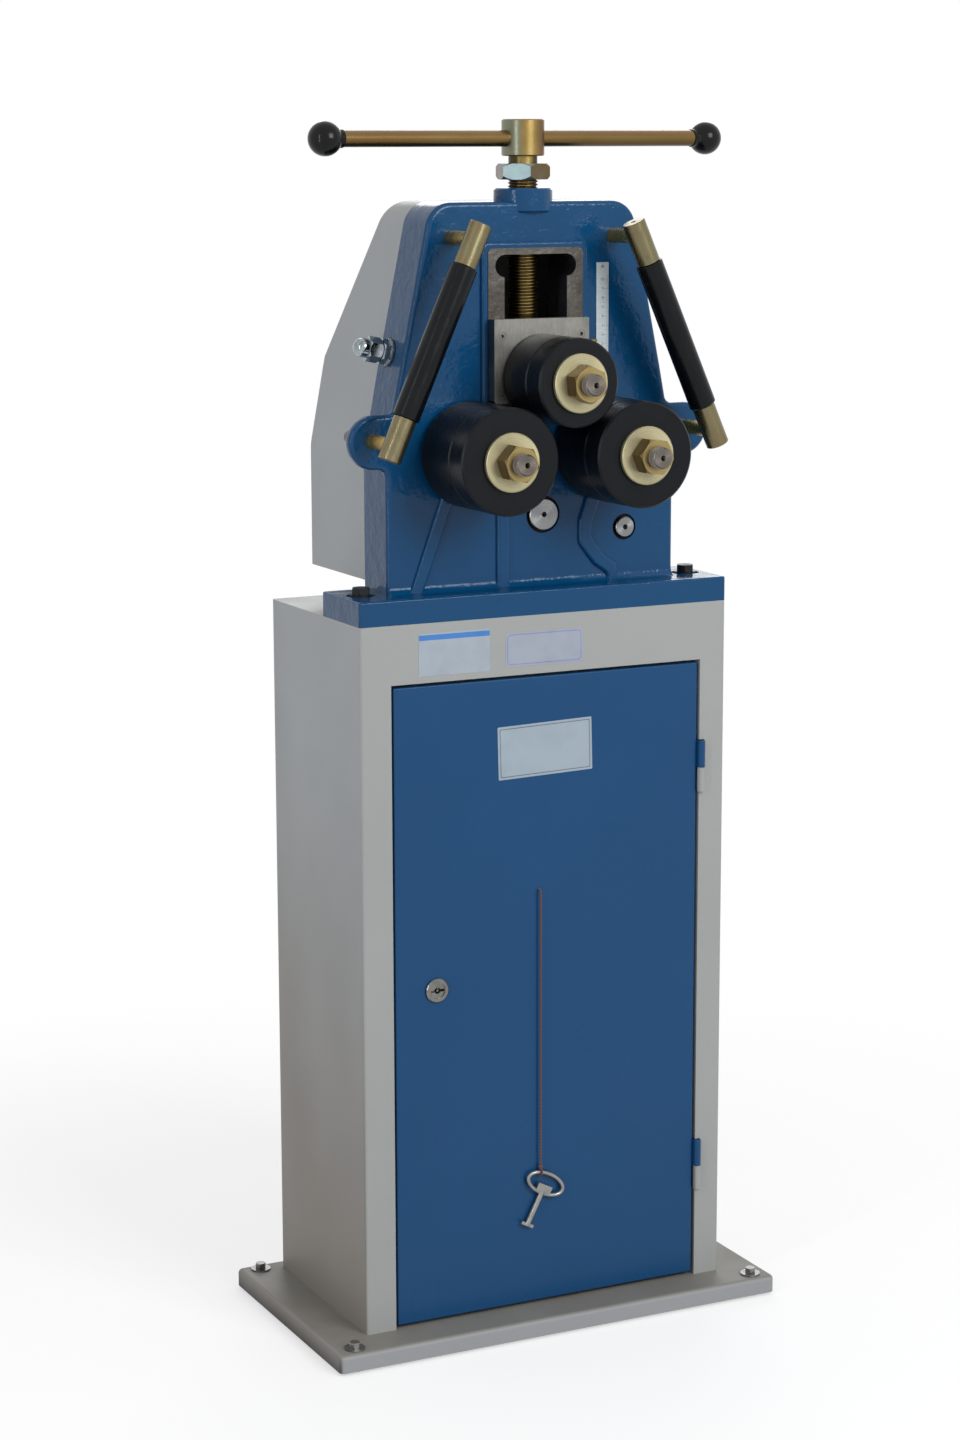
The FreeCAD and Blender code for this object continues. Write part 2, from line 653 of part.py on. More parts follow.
def lock_core():
    """Turning barrel with a slot for the key's cross bar."""
    front = DOOR_FRONT - LOCK_BEZEL_PROUD + LOCK_CORE_RECESS
    core = rod(LOCK_CORE_RADIUS, (LOCK_X, front, LOCK_Z), Y, CAM_FRONT - front)
    socket_radius = KEY_STEM_RADIUS + 0.3
    socket = rod(socket_radius, (LOCK_X, front - 1.0, LOCK_Z), Y, LOCK_SOCKET_DEPTH + 1.0)
    post = rod(LOCK_POST_RADIUS, (LOCK_X, front, LOCK_Z), Y, LOCK_SOCKET_DEPTH + 1.0)
    slot_x = (LOCK_X - LOCK_CORE_RADIUS + 0.8, LOCK_X + LOCK_CORE_RADIUS - 0.8)
    slot_z = (LOCK_Z - LOCK_BIT_WIDTH / 2.0, LOCK_Z + LOCK_BIT_WIDTH / 2.0)
    slot = box(slot_x, (front - 1.0, front + 8.0), slot_z)
    half = LOCK_STUB_HALF
    stub = box((LOCK_X - half, LOCK_X + half), (CAM_FRONT, CAM_FRONT + CAM_THICKNESS),
               (LOCK_Z - half, LOCK_Z + half))
    return fused([core.cut(socket).cut(slot), post, stub])


def lock_cam():
    """Tongue that turns behind the rebate; at rest it hangs down, unlocked."""
    reach = CAM_LENGTH
    half = CAM_WIDTH / 2.0
    outline = [(LOCK_X - half, LOCK_Z + half), (LOCK_X - half, LOCK_Z - reach),
               (LOCK_X + half, LOCK_Z - reach), (LOCK_X + half, LOCK_Z + half)]
    cam = plate_xz(outline, [half - 0.5, 3.0, 3.0, half - 0.5], (CAM_FRONT, CAM_FRONT + CAM_THICKNESS))
    gap = LOCK_STUB_HALF + TIGHT
    hole = box((LOCK_X - gap, LOCK_X + gap), (CAM_FRONT - 1.0, CAM_FRONT + CAM_THICKNESS + 1.0),
               (LOCK_Z - gap, LOCK_Z + gap))
    return cam.cut(hole)


def key_frame(shape):
    """Turn a key piece that was built upright at the origin, and hang it in front of the door."""
    shape.rotate(V(0, 0, 0), V(0, 1, 0), KEY_TILT)
    shape.translate(V(KEY_X, KEY_Y, KEY_Z))
    return shape


def bow_point(angle_deg):
    """Point of the bow's centre line, in the part's frame."""
    angle = math.radians(angle_deg)
    tilt = math.radians(KEY_TILT)
    along = BOW_LONG * math.cos(angle)
    up = BOW_SHORT * math.sin(angle)
    x = KEY_X + along * math.cos(tilt) + up * math.sin(tilt)
    z = KEY_Z - along * math.sin(tilt) + up * math.cos(tilt)
    return V(x, KEY_Y, z)


def key():
    """Cabinet key: wire bow, boss, round stem and a cross bar at its end."""
    path = Part.Ellipse(V(0, 0, 0), BOW_LONG, BOW_SHORT)
    path.Axis = V(0, -1, 0)
    path = Part.Wire(path.toShape())
    start = path.Edges[0].valueAt(path.Edges[0].FirstParameter)
    heading = path.Edges[0].tangentAt(path.Edges[0].FirstParameter)
    section = Part.Wire(Part.makeCircle(BOW_WIRE_RADIUS, start, heading))
    bow = path.makePipeShell([section], True, True)
    boss_bottom = -BOW_SHORT + KEY_BOSS_RAISE
    boss = box((-KEY_BOSS_HALF_WIDTH, KEY_BOSS_HALF_WIDTH),
               (-KEY_BOSS_HALF_THICKNESS, KEY_BOSS_HALF_THICKNESS),
               (boss_bottom, boss_bottom + KEY_BOSS_HEIGHT))
    stem_top = boss_bottom + 1.0
    stem = rod(KEY_STEM_RADIUS, (0, 0, stem_top), DOWN, KEY_STEM_LENGTH)
    end = stem_top - KEY_STEM_LENGTH
    half_bit = KEY_BIT_LENGTH / 2.0
    bit = box((-half_bit, half_bit), (-KEY_BIT_HALF_THICKNESS, KEY_BIT_HALF_THICKNESS),
              (end - 0.5, end - 0.5 + KEY_BIT_HEIGHT))
    return key_frame(bow.fuse(boss).fuse(stem).fuse(bit))


def knot_centre():
    """The knot sits straight above the place where the cord holds the bow."""
    loop = BOW_WIRE_RADIUS + CORD_RADIUS + 0.05
    return bow_point(BOW_HANG_ANGLE) + V(0, 0, loop + KNOT_RADIUS)


def cord_knot():
    """Loop round the bow and the knot that closes it."""
    hang = bow_point(BOW_HANG_ANGLE)
    ahead = bow_point(BOW_HANG_ANGLE - 1.0) - hang
    loop_radius = BOW_WIRE_RADIUS + CORD_RADIUS + 0.05
    loop = Part.makeTorus(loop_radius, CORD_RADIUS, hang, ahead)
    knot = Part.makeSphere(KNOT_RADIUS, knot_centre())
    flat_z = knot_centre().z + KNOT_RADIUS - KNOT_FLAT
    above = box((hang.x - 5, hang.x + 5), (KEY_Y - 5, KEY_Y + 5), (flat_z, flat_z + 5))
    return fused([loop, knot]).cut(above)


def cord_route():
    """The cord leaves its hole straight out, turns down and hangs plumb to the knot."""
    top = V(CORD_X, DOOR_FRONT + DOOR_SHEET, CORD_HOLE_Z)
    bend = V(CORD_X, KEY_Y, CORD_HOLE_Z)
    end = V(CORD_X, KEY_Y, knot_centre().z + KNOT_RADIUS - KNOT_FLAT)
    return [top, bend, end]


def key_cord():
    """Thin cord that holds the key in front of the door."""
    top, bend, end = cord_route()
    radius = CORD_BEND_RADIUS
    first = Part.LineSegment(top, bend + V(0, radius, 0)).toShape()
    turn_start = bend + V(0, radius, 0)
    turn_end = bend + V(0, 0, -radius)
    centre = bend + V(0, radius, -radius)
    outward = V(0, -1, 1)
    outward.normalize()
    turn = Part.Arc(turn_start, centre + outward * radius, turn_end).toShape()
    last = Part.LineSegment(turn_end, end).toShape()
    path = Part.Wire([first, turn, last])
    section = Part.Wire(Part.makeCircle(CORD_RADIUS, top, V(0, -1, 0)))
    cord = path.makePipeShell([section], True, True)
    print("cord: length %.1f mm, bend radius %.1f mm" % (path.Length, radius))
    print("cord volume / (section x length) = %.4f"
          % (cord.Volume / (math.pi * CORD_RADIUS ** 2 * path.Length)))
    return cord


# ================================================================ head casting
def ear_outline():
    """Front layer of the casting: its body with the two ears that carry the side handles."""
    right = [
        (CAST_HALF_WIDTH, FLANGE_TOP - 5.0),
        (CAST_HALF_WIDTH, EAR_Z - EAR_RADIUS),
        (EAR_X + EAR_RADIUS, EAR_Z - EAR_RADIUS),
        (EAR_X + EAR_RADIUS, EAR_Z + EAR_RADIUS),
        (EAR_ROOT_X, EAR_Z + EAR_RADIUS),
        CAST_WAIST,
        (CAST_TOP_HALF, CAST_TOP),
    ]
    radii = [0, 10.0, EAR_RADIUS - 0.01, EAR_RADIUS - 0.01, 9.0, 90.0, CAST_TOP_RADIUS]
    return mirrored(right), radii + list(reversed(radii))


def body_outline(bottom):
    """The casting behind its ears; the rear cover follows the same line."""
    right = [
        (CAST_HALF_WIDTH, bottom),
        (CAST_HALF_WIDTH, CAST_SHOULDER_Z),
        CAST_WAIST,
        (CAST_TOP_HALF, CAST_TOP),
    ]
    radii = [0, 60.0, 90.0, CAST_TOP_RADIUS]
    return mirrored(right), radii + list(reversed(radii))


def bearing_spots():
    """Shaft bores of the casting: x, z, shaft radius."""
    return [
        (-LOWER_X, LOWER_Z, SHAFT_RADIUS),
        (LOWER_X, LOWER_Z, SHAFT_RADIUS),
        (IDLER_X, IDLER_Z, IDLER_RADIUS),
        (DRIVE_X, DRIVE_Z, DRIVE_RADIUS),
    ]


def front_ribs():
    """Rounded ribs on the lower front of the casting."""
    depth = (FACE + RIB_ROOT, FACE - RIB_PROUD)
    foot = FLANGE_TOP - 3.0
    slanted = [(-113.0, RIB_TOP), (-152.0, foot), (-136.0, foot), (-97.0, RIB_TOP)]
    upright = [(-46.0, RIB_TOP), (-46.0, foot), (-30.0, foot), (-30.0, RIB_TOP)]
    curved = [(66.0, RIB_TOP), (55.0, 912.0), (55.0, 886.0), (74.0, 862.0), (90.0, 851.0), (90.0, foot),
              (104.0, foot), (104.0, 862.0), (88.0, 872.0), (72.0, 893.0), (72.0, 906.0), (86.0, RIB_TOP)]
    ribs = []
    shapes = (
        (slanted, [0] * 4),
        (upright, [0] * 4),
        (curved, [0, 14.0, 14.0, 10.0, 6.0, 0, 0, 6.0, 10.0, 10.0, 10.0, 0]),
    )
    for points, radii in shapes:
        rib = plate_xz(points, radii, (depth[1], depth[0]))
        ribs.append(soften_front(rib, RIB_EDGE_RADIUS, depth[1]))
    return ribs


def ear_thickness():
    """From the casting's face to the back of an ear's boss."""
    return EAR_BACK + EAR_BOSS_THICKNESS - FACE


def ear_bosses():
    """Round bosses that thicken the ears behind, with a full rounding at their rear rims."""
    bosses = []
    front = EAR_BACK - 1.0
    back = FACE + ear_thickness()
    for side in (-1, 1):
        boss = rod(EAR_RADIUS, (side * EAR_X, front, EAR_Z), Y, back - front)
        rim = edges_in_plane(boss, "YMin", "YMax", back)
        bosses.append(boss.makeFillet(EAR_BOSS_THICKNESS - 0.5, rim))
    return bosses


def foot_flange():
    """Foot of the casting, as wide as the cabinet and flush with its front."""
    half = CABINET_WIDTH / 2.0
    outline = [(-half, FLANGE_FRONT), (half, FLANGE_FRONT), (half, FLANGE_BACK), (-half, FLANGE_BACK)]
    flange = plate_xy(outline, [FLANGE_CORNER_RADIUS] * 4, (CABINET_TOP, FLANGE_TOP))
    flange = soften_level(flange, FLANGE_EDGE_RADIUS, FLANGE_TOP)
    for x in (-HEAD_BOLT_X, HEAD_BOLT_X):
        floor = FLANGE_TOP - SPOT_FACE_DEPTH
        flange = flange.cut(rod(SPOT_FACE_RADIUS, (x, HEAD_BOLT_Y, floor), Z, 10.0))
        hole = HEAD_BOLT_RADIUS + BOLT_SLACK
        flange = flange.cut(rod(hole, (x, HEAD_BOLT_Y, CABINET_TOP - 1.0), Z, 40.0))
    return flange


def foot_fillet():
    """Hollow fillet where the front face meets the foot."""
    radius = FOOT_FILLET_RADIUS
    half = CAST_HALF_WIDTH - 2.0
    corner = box((-half, half), (FACE - radius, FACE + 1.0), (FLANGE_TOP - 1.0, FLANGE_TOP + radius))
    hollow = rod(radius, (-half - 1.0, FACE - radius, FLANGE_TOP + radius), X, 2.0 * half + 2.0)
    return corner.cut(hollow)


def rear_cavity():
    """Hollow of the casting, open to the back, round its bosses and the slide's column."""
    points, radii = body_outline(FLANGE_TOP)
    face = rounded_face(points, radii, lambda a, b: V(a, FACE + CAST_FRONT_WALL, b))
    inner_wire = face.OuterWire.makeOffset2D(-CAST_WALL)
    cavity = Part.Face(inner_wire).extrude(V(0, 100.0, 0))
    column = box((-COLUMN_HALF, COLUMN_HALF), (FACE, CAST_BACK), (COLUMN_BOTTOM, CAST_TOP))
    cavity = cavity.cut(column)
    for x, z, radius in bearing_spots():
        cavity = cavity.cut(rod(radius + BEARING_BOSS_WALL, (x, FACE, z), Y, CAST_BACK - FACE))
    cavity = cavity.cut(rod(GIB_TUNNEL_RADIUS, gib_point(20.0), gib_inward(), 130.0))
    for x, z in POST_SPOTS:
        cavity = cavity.cut(rod(POST_BOSS_RADIUS, (x, FACE, z), Y, CAST_BACK - FACE))
    return cavity


def slide_way():
    """Everything cut away for the slide: the window, its corner reliefs and the rear pocket."""
    through = (WAY_FACE - 5.0, CAST_BACK + 5.0)
    window = box((-WINDOW_HALF, WINDOW_HALF), through, (WINDOW_BOTTOM, WINDOW_TOP))
    cuts = [window]
    relief_z = WINDOW_TOP - RELIEF_RADIUS
    for x in (-RELIEF_X, RELIEF_X):
        cuts.append(rod(RELIEF_RADIUS, (x, through[0], relief_z), Y, through[1] - through[0]))
    cuts.append(box((-RELIEF_X, RELIEF_X), through, (relief_z, WINDOW_TOP)))
    cuts.append(box((POCKET_LEFT, POCKET_RIGHT), (RAIL_BACK, through[1]), (WINDOW_BOTTOM, WINDOW_TOP)))
    return fused(cuts)


def head_casting():
    """One casting: foot, walls, ears, bosses, slide way and ribs."""
    points, radii = ear_outline()
    front = soften_front(plate_xz(points, radii, (FACE, EAR_BACK)), CAST_EDGE_RADIUS, FACE)
    points, radii = body_outline(FLANGE_TOP - 5.0)
    back = plate_xz(points, radii, (EAR_BACK - 0.5, CAST_BACK))
    boss_height = SCREW_BOSS_TOP - SCREW_BOSS_BOTTOM
    boss = chamfered_rod(SCREW_BOSS_RADIUS, (0, SCREW_Y, SCREW_BOSS_BOTTOM), Z, boss_height, 2.0)
    pad_points = mirrored([(PAD_HALF, PAD_BOTTOM), (PAD_HALF, PAD_TOP)])
    pad = soften_front(plate_xz(pad_points, [8.0] * 4, (PAD_FACE, FACE + 5.0)), 3.0, PAD_FACE)
    way_points = mirrored([(WAY_HALF, PAD_BOTTOM + 4.0), (WAY_HALF, WAY_TOP)])
    way = plate_xz(way_points, [6.0] * 4, (WAY_FACE, FACE))
    pieces = [front, back, boss, pad, way, foot_flange(), foot_fillet()]
    body = fused(pieces + ear_bosses() + front_ribs())
    body = body.cut(rear_cavity()).cut(slide_way())
    for x, z, radius in bearing_spots():
        body = body.cut(rod(radius + BUSH_WALL + TIGHT, (x, FACE - 20.0, z), Y, 100.0))
    body = body.cut(rod(SCREW_RADIUS + RUNNING, (0, SCREW_Y, WINDOW_TOP - 1.0), Z, 100.0))
    for side in (-1, 1):
        for point, depth in ((HANDLE_UPPER, HANDLE_PIN_DEPTH), (HANDLE_LOWER, ear_thickness() + 1.0)):
            start = (side * point[0], FACE - 5.0, point[1])
            body = body.cut(rod(HANDLE_PIN_RADIUS + TIGHT, start, Y, depth + 5.0))
    body = body.cut(rod(GIB_SCREW_RADIUS + TIGHT, gib_point(20.0), gib_inward(), 20.0 + GIB_STUD_DEPTH))
    body = body.cut(rod(GIB_WASHER_RADIUS + 1.5, gib_point(0.0), gib_outward(), 20.0))
    for x, z in POST_SPOTS:
        start = (x, CAST_BACK - POST_STUD_LENGTH - 2.0, z)
        body = body.cut(rod(POST_STUD_RADIUS + TIGHT, start, Y, 20.0))
    return body


def side_slope():
    """Sideways run of the casting's side per unit of height, above its waist."""
    return (CAST_WAIST[0] - CAST_TOP_HALF) / (CAST_TOP - CAST_WAIST[1])


def gib_outward():
    """Direction square to the casting's sloping left side, pointing away from it."""
    length = math.hypot(1.0, side_slope())
    return (-1.0 / length, 0, side_slope() / length)


def gib_inward():
    """Direction in which the gib screw points, into the casting."""
    return tuple(-value for value in gib_outward())


def gib_point(distance):
    """Point on the gib screw's axis, at this distance outside the washer's seat."""
    seat_x = -(CAST_WAIST[0] - side_slope() * (GIB_SCREW_Z - CAST_WAIST[1])) + GIB_SEAT_DEPTH
    outward = gib_outward()
    return (seat_x + outward[0] * distance, GIB_SCREW_Y, GIB_SCREW_Z + outward[2] * distance)


def head_bolts():
    """Hexagon bolts, washers and nuts that hold the head on the cabinet."""
    pieces = []
    seat = FLANGE_TOP - SPOT_FACE_DEPTH
    below = CABINET_TOP - SHEET - STIFFENER_THICKNESS
    for x in (-HEAD_BOLT_X, HEAD_BOLT_X):
        hole = HEAD_BOLT_RADIUS + BOLT_SLACK
        washer = tube(HEAD_WASHER_RADIUS, hole, (x, HEAD_BOLT_Y, seat), Z, HEAD_WASHER_THICKNESS)
        head_bottom = seat + HEAD_WASHER_THICKNESS
        head = hexagon(HEAD_BOLT_FLATS, (x, HEAD_BOLT_Y, head_bottom), Z, HEAD_BOLT_HEAD)
        end = below - HEAD_BOLT_END
        shank = rod(HEAD_BOLT_RADIUS, (x, HEAD_BOLT_Y, end), Z, head_bottom - end)
        nut_start = (x, HEAD_BOLT_Y, below - HEAD_BOLT_NUT)
        nut = hexagon(HEAD_BOLT_FLATS, nut_start, Z, HEAD_BOLT_NUT)
        nut = nut.cut(rod(HEAD_BOLT_RADIUS + TIGHT, nut_start, Z, HEAD_BOLT_NUT))
        pieces.extend([washer, head.fuse(shank), nut])
    return group(pieces)


def shaft_bushes():
    """Bronze bushes, one at each end of every shaft bore of the casting."""
    bushes = []
    for x, z, radius in bearing_spots():
        outer = radius + BUSH_WALL
        front = (x, FACE + BUSH_INSET, z)
        back = (x, CAST_BACK - BUSH_LENGTH, z)
        bushes.append(tube(outer, radius + RUNNING, front, Y, BUSH_LENGTH))
        bushes.append(tube(outer, radius + RUNNING, back, Y, BUSH_LENGTH))
    return group(bushes)


# ================================================================ rear cover
def cover_body(inset):
    """The cover's outer form, or the form inset by its sheet."""
    points, radii = body_outline(COVER_BOTTOM)
    face = rounded_face(points, radii, lambda a, b: V(a, CAST_BACK, b))
    if inset > 0:
        face = Part.Face(face.OuterWire.makeOffset2D(-inset))
    form = face.extrude(V(0, COVER_BACK - inset - CAST_BACK, 0))
    rear = COVER_BACK - inset
    top_rear = COVER_TOP_BACK - inset
    high = CAST_TOP + 50.0
    slope = (COVER_TOP_BACK - COVER_BACK) / (CAST_TOP - COVER_SLOPE_START)
    cut_points = [V(0, rear + 60.0, COVER_SLOPE_START), V(0, rear + 60.0, high),
                  V(0, top_rear + slope * 50.0, high), V(0, rear, COVER_SLOPE_START)]
    cut_points = cut_points + [cut_points[0]]
    wedge = Part.Face(Part.makePolygon(cut_points)).extrude(V(600.0, 0, 0))
    wedge.translate(V(-300.0, 0, 0))
    return form.cut(wedge)


def rear_cover():
    """Sheet-metal box over the gears, flush with the casting's outline."""
    outer = cover_body(0.0)
    outer = outer.makeFillet(COVER_EDGE_RADIUS, cover_rear_edges(outer))
    inner = cover_body(COVER_SHEET)
    inner = inner.makeFillet(COVER_EDGE_RADIUS - COVER_SHEET, cover_rear_edges(inner))
    shell = outer.cut(inner)
    start_y = COVER_BACK - 10.0
    hub = DRIVE_RADIUS + BEARING_HUB_WALL
    shell = shell.cut(rod(hub + TIGHT, (DRIVE_X, start_y, DRIVE_Z), Y, 20.0))
    for x, z in list(POST_SPOTS) + bearing_bolt_spots():
        shell = shell.cut(rod(COVER_SCREW_RADIUS + BOLT_SLACK, (x, start_y, z), Y, 20.0))
    return shell


def cover_rear_edges(form):
    """Rim edges of the rear wall and of its sloping upper part."""
    edges = []
    for edge in form.Edges:
        span = edge.BoundBox
        at_rear = span.YMin > CAST_BACK + 20.0
        at_fold = span.XMax - span.XMin > 300.0 and span.ZMin > COVER_BOTTOM + 50.0 \
            and span.ZMax < CAST_TOP - 50.0
        if at_rear and not at_fold:
            edges.append(edge)
    return edges


def cover_posts():
    """Stand-off posts between the casting and the cover."""
    posts = []
    for x, z in POST_SPOTS:
        length = COVER_BACK - COVER_SHEET - CAST_BACK
        post = rod(POST_RADIUS, (x, CAST_BACK, z), Y, length)
        stud = rod(POST_STUD_RADIUS, (x, CAST_BACK - POST_STUD_LENGTH, z), Y, POST_STUD_LENGTH)
        hole_start = COVER_BACK - COVER_SCREW_LENGTH - 1.0
        hole = rod(COVER_SCREW_RADIUS + TIGHT, (x, hole_start, z), Y, 20.0)
        posts.append(fused([post, stud]).cut(hole))
    return group(posts)


def bearing_bolt_spots():
    """Two small screws hold the crankshaft's bearing on the cover."""
    return [(DRIVE_X - BEARING_SCREW_RADIUS, DRIVE_Z), (DRIVE_X + BEARING_SCREW_RADIUS, DRIVE_Z)]


def cover_screws():
    """Pan-head screws into the posts and through the bearing's flange."""
    screws = []
    for x, z in POST_SPOTS:
        head = chamfered_rod(COVER_SCREW_HEAD_RADIUS, (x, COVER_BACK, z), Y, COVER_SCREW_HEAD, 1.0)
        start = (x, COVER_BACK - COVER_SCREW_LENGTH, z)
        screws.append(head.fuse(rod(COVER_SCREW_RADIUS, start, Y, COVER_SCREW_LENGTH)))
    for x, z in bearing_bolt_spots():
        seat = COVER_BACK + BEARING_FLANGE
        head = chamfered_rod(BEARING_SCREW_HEAD_RADIUS, (x, seat, z), Y, BEARING_SCREW_HEAD, 0.8)
        start = (x, seat - BEARING_SCREW_LENGTH, z)
        screws.append(head.fuse(rod(COVER_SCREW_RADIUS, start, Y, BEARING_SCREW_LENGTH)))
    return group(screws)


def crank_bearing():
    """Flanged bronze bearing of the crankshaft in the cover's rear wall."""
    flange = rod(BEARING_RADIUS, (DRIVE_X, COVER_BACK, DRIVE_Z), Y, BEARING_FLANGE)
    hub_start = (DRIVE_X, COVER_BACK - BEARING_DEPTH, DRIVE_Z)
    hub_length = BEARING_DEPTH + BEARING_PROUD
    hub = chamfered_rod(DRIVE_RADIUS + BEARING_HUB_WALL, hub_start, Y, hub_length, 1.0)
    bearing = fused([flange, hub])
    bearing = bearing.cut(rod(DRIVE_RADIUS + RUNNING, hub_start, Y, hub_length))
    for x, z in bearing_bolt_spots():
        bearing = bearing.cut(rod(COVER_SCREW_RADIUS + BOLT_SLACK, (x, COVER_BACK, z), Y, BEARING_FLANGE))
    return bearing


# ================================================================ slide
def slide_front_plate():
    """Ground plate that runs on the front of the way and carries the upper roller's shaft."""
    back = WAY_FACE - SLIDING
    points = mirrored([(PLATE_HALF, PLATE_BOTTOM), (PLATE_HALF, PLATE_TOP)])
    plate = plate_xz(points, [3.0, 1.5, 1.5, 3.0], (back - PLATE_THICKNESS, back))
    start_y = back - PLATE_THICKNESS - 1.0
    bore = SHAFT_RADIUS + BUSH_WALL + TIGHT
    plate = plate.cut(rod(bore, (0, start_y, ROLLER_AXIS_TOP), Y, PLATE_THICKNESS + 2.0))
    for x, z in plate_screw_spots():
        head = PLATE_SCREW_HEAD_RADIUS + 0.2
        head_depth = 1.0 + PLATE_SCREW_SUNK + PLATE_SCREW_HEAD
        plate = plate.cut(rod(head, (x, start_y, z), Y, head_depth))
        plate = plate.cut(rod(PLATE_SCREW_RADIUS + 0.2, (x, start_y, z), Y, 40.0))
    shank_start = (PLATE_HALF - POINTER_SHANK, plate_middle(), POINTER_Z)
    pointer_hole = rod(POINTER_RADIUS - 0.5 + TIGHT, shank_start, X, 10.0)
    return plate.cut(pointer_hole)


def plate_middle():
    """Middle of the slide's front plate, along Y."""
    return WAY_FACE - SLIDING - PLATE_THICKNESS / 2.0


def plate_screw_spots():
    """Where the front plate's screws stand: x, z."""
    spots = []
    for z in (PLATE_SCREW_BOTTOM_Z, PLATE_SCREW_TOP_Z):
        for x in (-PLATE_SCREW_X, PLATE_SCREW_X):
            spots.append((x, z))
    return spots


def slide_block():
    """T-shaped block behind the front plate, with a slot for the feed screw's collar."""
    neck_half = WINDOW_HALF - SLIDING
    neck = box((-neck_half, neck_half), (WAY_FACE - SLIDING, RAIL_BACK + 1.0),
               (BLOCK_BOTTOM, BLOCK_TOP))
    wide = box((-BLOCK_HALF, BLOCK_HALF), (RAIL_BACK + SLIDING, BLOCK_BACK), (BLOCK_BOTTOM, BLOCK_TOP))
    block = fused([neck, wide])
    start = (0, WAY_FACE - 5.0, ROLLER_AXIS_TOP)
    block = block.cut(rod(SHAFT_RADIUS + BUSH_WALL + TIGHT, start, Y, 80.0))
    cut_back = (SCREW_Y, BLOCK_BACK + 1.0)
    journal = JOURNAL_RADIUS + 0.2
    collar = COLLAR_RADIUS + 0.3
    collar_z = (COLLAR_TOP - COLLAR_HEIGHT - 0.1, COLLAR_TOP + 0.1)
    cuts = [
        rod(journal, (0, SCREW_Y, collar_z[0]), Z, 40.0),
        box((-journal, journal), cut_back, (collar_z[0], BLOCK_TOP + 1.0)),
        rod(collar, (0, SCREW_Y, collar_z[0]), Z, collar_z[1] - collar_z[0]),
        box((-collar, collar), cut_back, collar_z),
    ]
    for cut in cuts:
        block = block.cut(cut)
    return block


def slide_screws():
    """Socket screws at the corners of the front plate."""
    screws = []
    front = WAY_FACE - SLIDING - PLATE_THICKNESS
    for x, z in plate_screw_spots():
        top = front + PLATE_SCREW_SUNK
        head = rod(PLATE_SCREW_HEAD_RADIUS, (x, top, z), Y, PLATE_SCREW_HEAD)
        socket_start = (x, top - 0.5, z)
        socket = hexagon(PLATE_SCREW_SOCKET_FLATS, socket_start, Y, PLATE_SCREW_SOCKET_DEPTH + 0.5)
        shank_start = top + PLATE_SCREW_HEAD
        shank_length = WAY_FACE - SLIDING - shank_start - 0.5
        shank = rod(PLATE_SCREW_RADIUS, (x, shank_start, z), Y, shank_length)
        screws.append(head.cut(socket).fuse(shank))
    return group(screws)


def upper_bushes():
    """Bronze bushes of the upper roller's shaft."""
    front = WAY_FACE - SLIDING - PLATE_THICKNESS + 1.0
    outer = SHAFT_RADIUS + BUSH_WALL
    bushes = []
    for start_y in (front, BLOCK_BACK - UPPER_BUSH_LENGTH):
        start = (0, start_y, ROLLER_AXIS_TOP)
        bushes.append(tube(outer, SHAFT_RADIUS + RUNNING, start, Y, UPPER_BUSH_LENGTH))
    return group(bushes)


def scale_pointer():
    """Pin in the front plate's edge that points at the scale."""
    shank_start = (PLATE_HALF - POINTER_SHANK, plate_middle(), POINTER_Z)
    shank = rod(POINTER_RADIUS - 0.5, shank_start, X, POINTER_SHANK)
    straight = POINTER_LENGTH - POINTER_TIP
    body = rod(POINTER_RADIUS, (PLATE_HALF, plate_middle(), POINTER_Z), X, straight)
    tip_start = V(PLATE_HALF + straight, plate_middle(), POINTER_Z)
    tip = Part.makeCone(POINTER_RADIUS, 0.6, POINTER_TIP, tip_start, V(1, 0, 0))
    return fused([shank, body, tip])


# ================================================================ feed screw and its handle
def lead_screw():
    """Feed screw through the boss, down to a collar held in the slide's block."""
    collar_bottom = COLLAR_TOP - COLLAR_HEIGHT
    ring_bottom = BLOCK_TOP + 0.2
    thread_bottom = ring_bottom + FLANGE_RING_HEIGHT
    thread_top = LOCK_NUT_TOP
    pieces = [
        rod(COLLAR_RADIUS, (0, SCREW_Y, collar_bottom), Z, COLLAR_HEIGHT),
        rod(JOURNAL_RADIUS, (0, SCREW_Y, collar_bottom), Z, ring_bottom - collar_bottom + 1.0),
        chamfered_rod(FLANGE_RING_RADIUS, (0, SCREW_Y, ring_bottom), Z, FLANGE_RING_HEIGHT, 0.8),
        rod(SCREW_RADIUS, (0, SCREW_Y, thread_bottom), Z, thread_top - thread_bottom),
        rod(SCREW_NECK_RADIUS, (0, SCREW_Y, thread_top), Z, HUB_BOTTOM - thread_top),
        rod(SPIGOT_RADIUS, (0, SCREW_Y, HUB_BOTTOM), Z, SPIGOT_LENGTH),
    ]
    return fused(pieces)


def tee_hub():
    """Head of the feed screw, bored across for the bar."""
    hub = chamfered_rod(HUB_RADIUS, (0, SCREW_Y, HUB_BOTTOM), Z, HUB_TOP - HUB_BOTTOM, 1.2)
    socket = rod(SPIGOT_RADIUS + TIGHT, (0, SCREW_Y, HUB_BOTTOM), Z, SPIGOT_LENGTH + TIGHT)
    hub = hub.cut(socket)
    start = bar_point(-HUB_RADIUS - 5.0)
    return hub.cut(rod(BAR_RADIUS + 0.1, start, bar_axis(), 2.0 * HUB_RADIUS + 10.0))


def bar_axis():
    """Direction of the tee bar."""
    angle = math.radians(BAR_TURN)
    return (math.cos(angle), math.sin(angle), 0)


def bar_point(distance):
    """Point on the tee bar's axis, at this distance from its middle."""
    axis = bar_axis()
    return (axis[0] * distance, SCREW_Y + axis[1] * distance, BAR_Z)


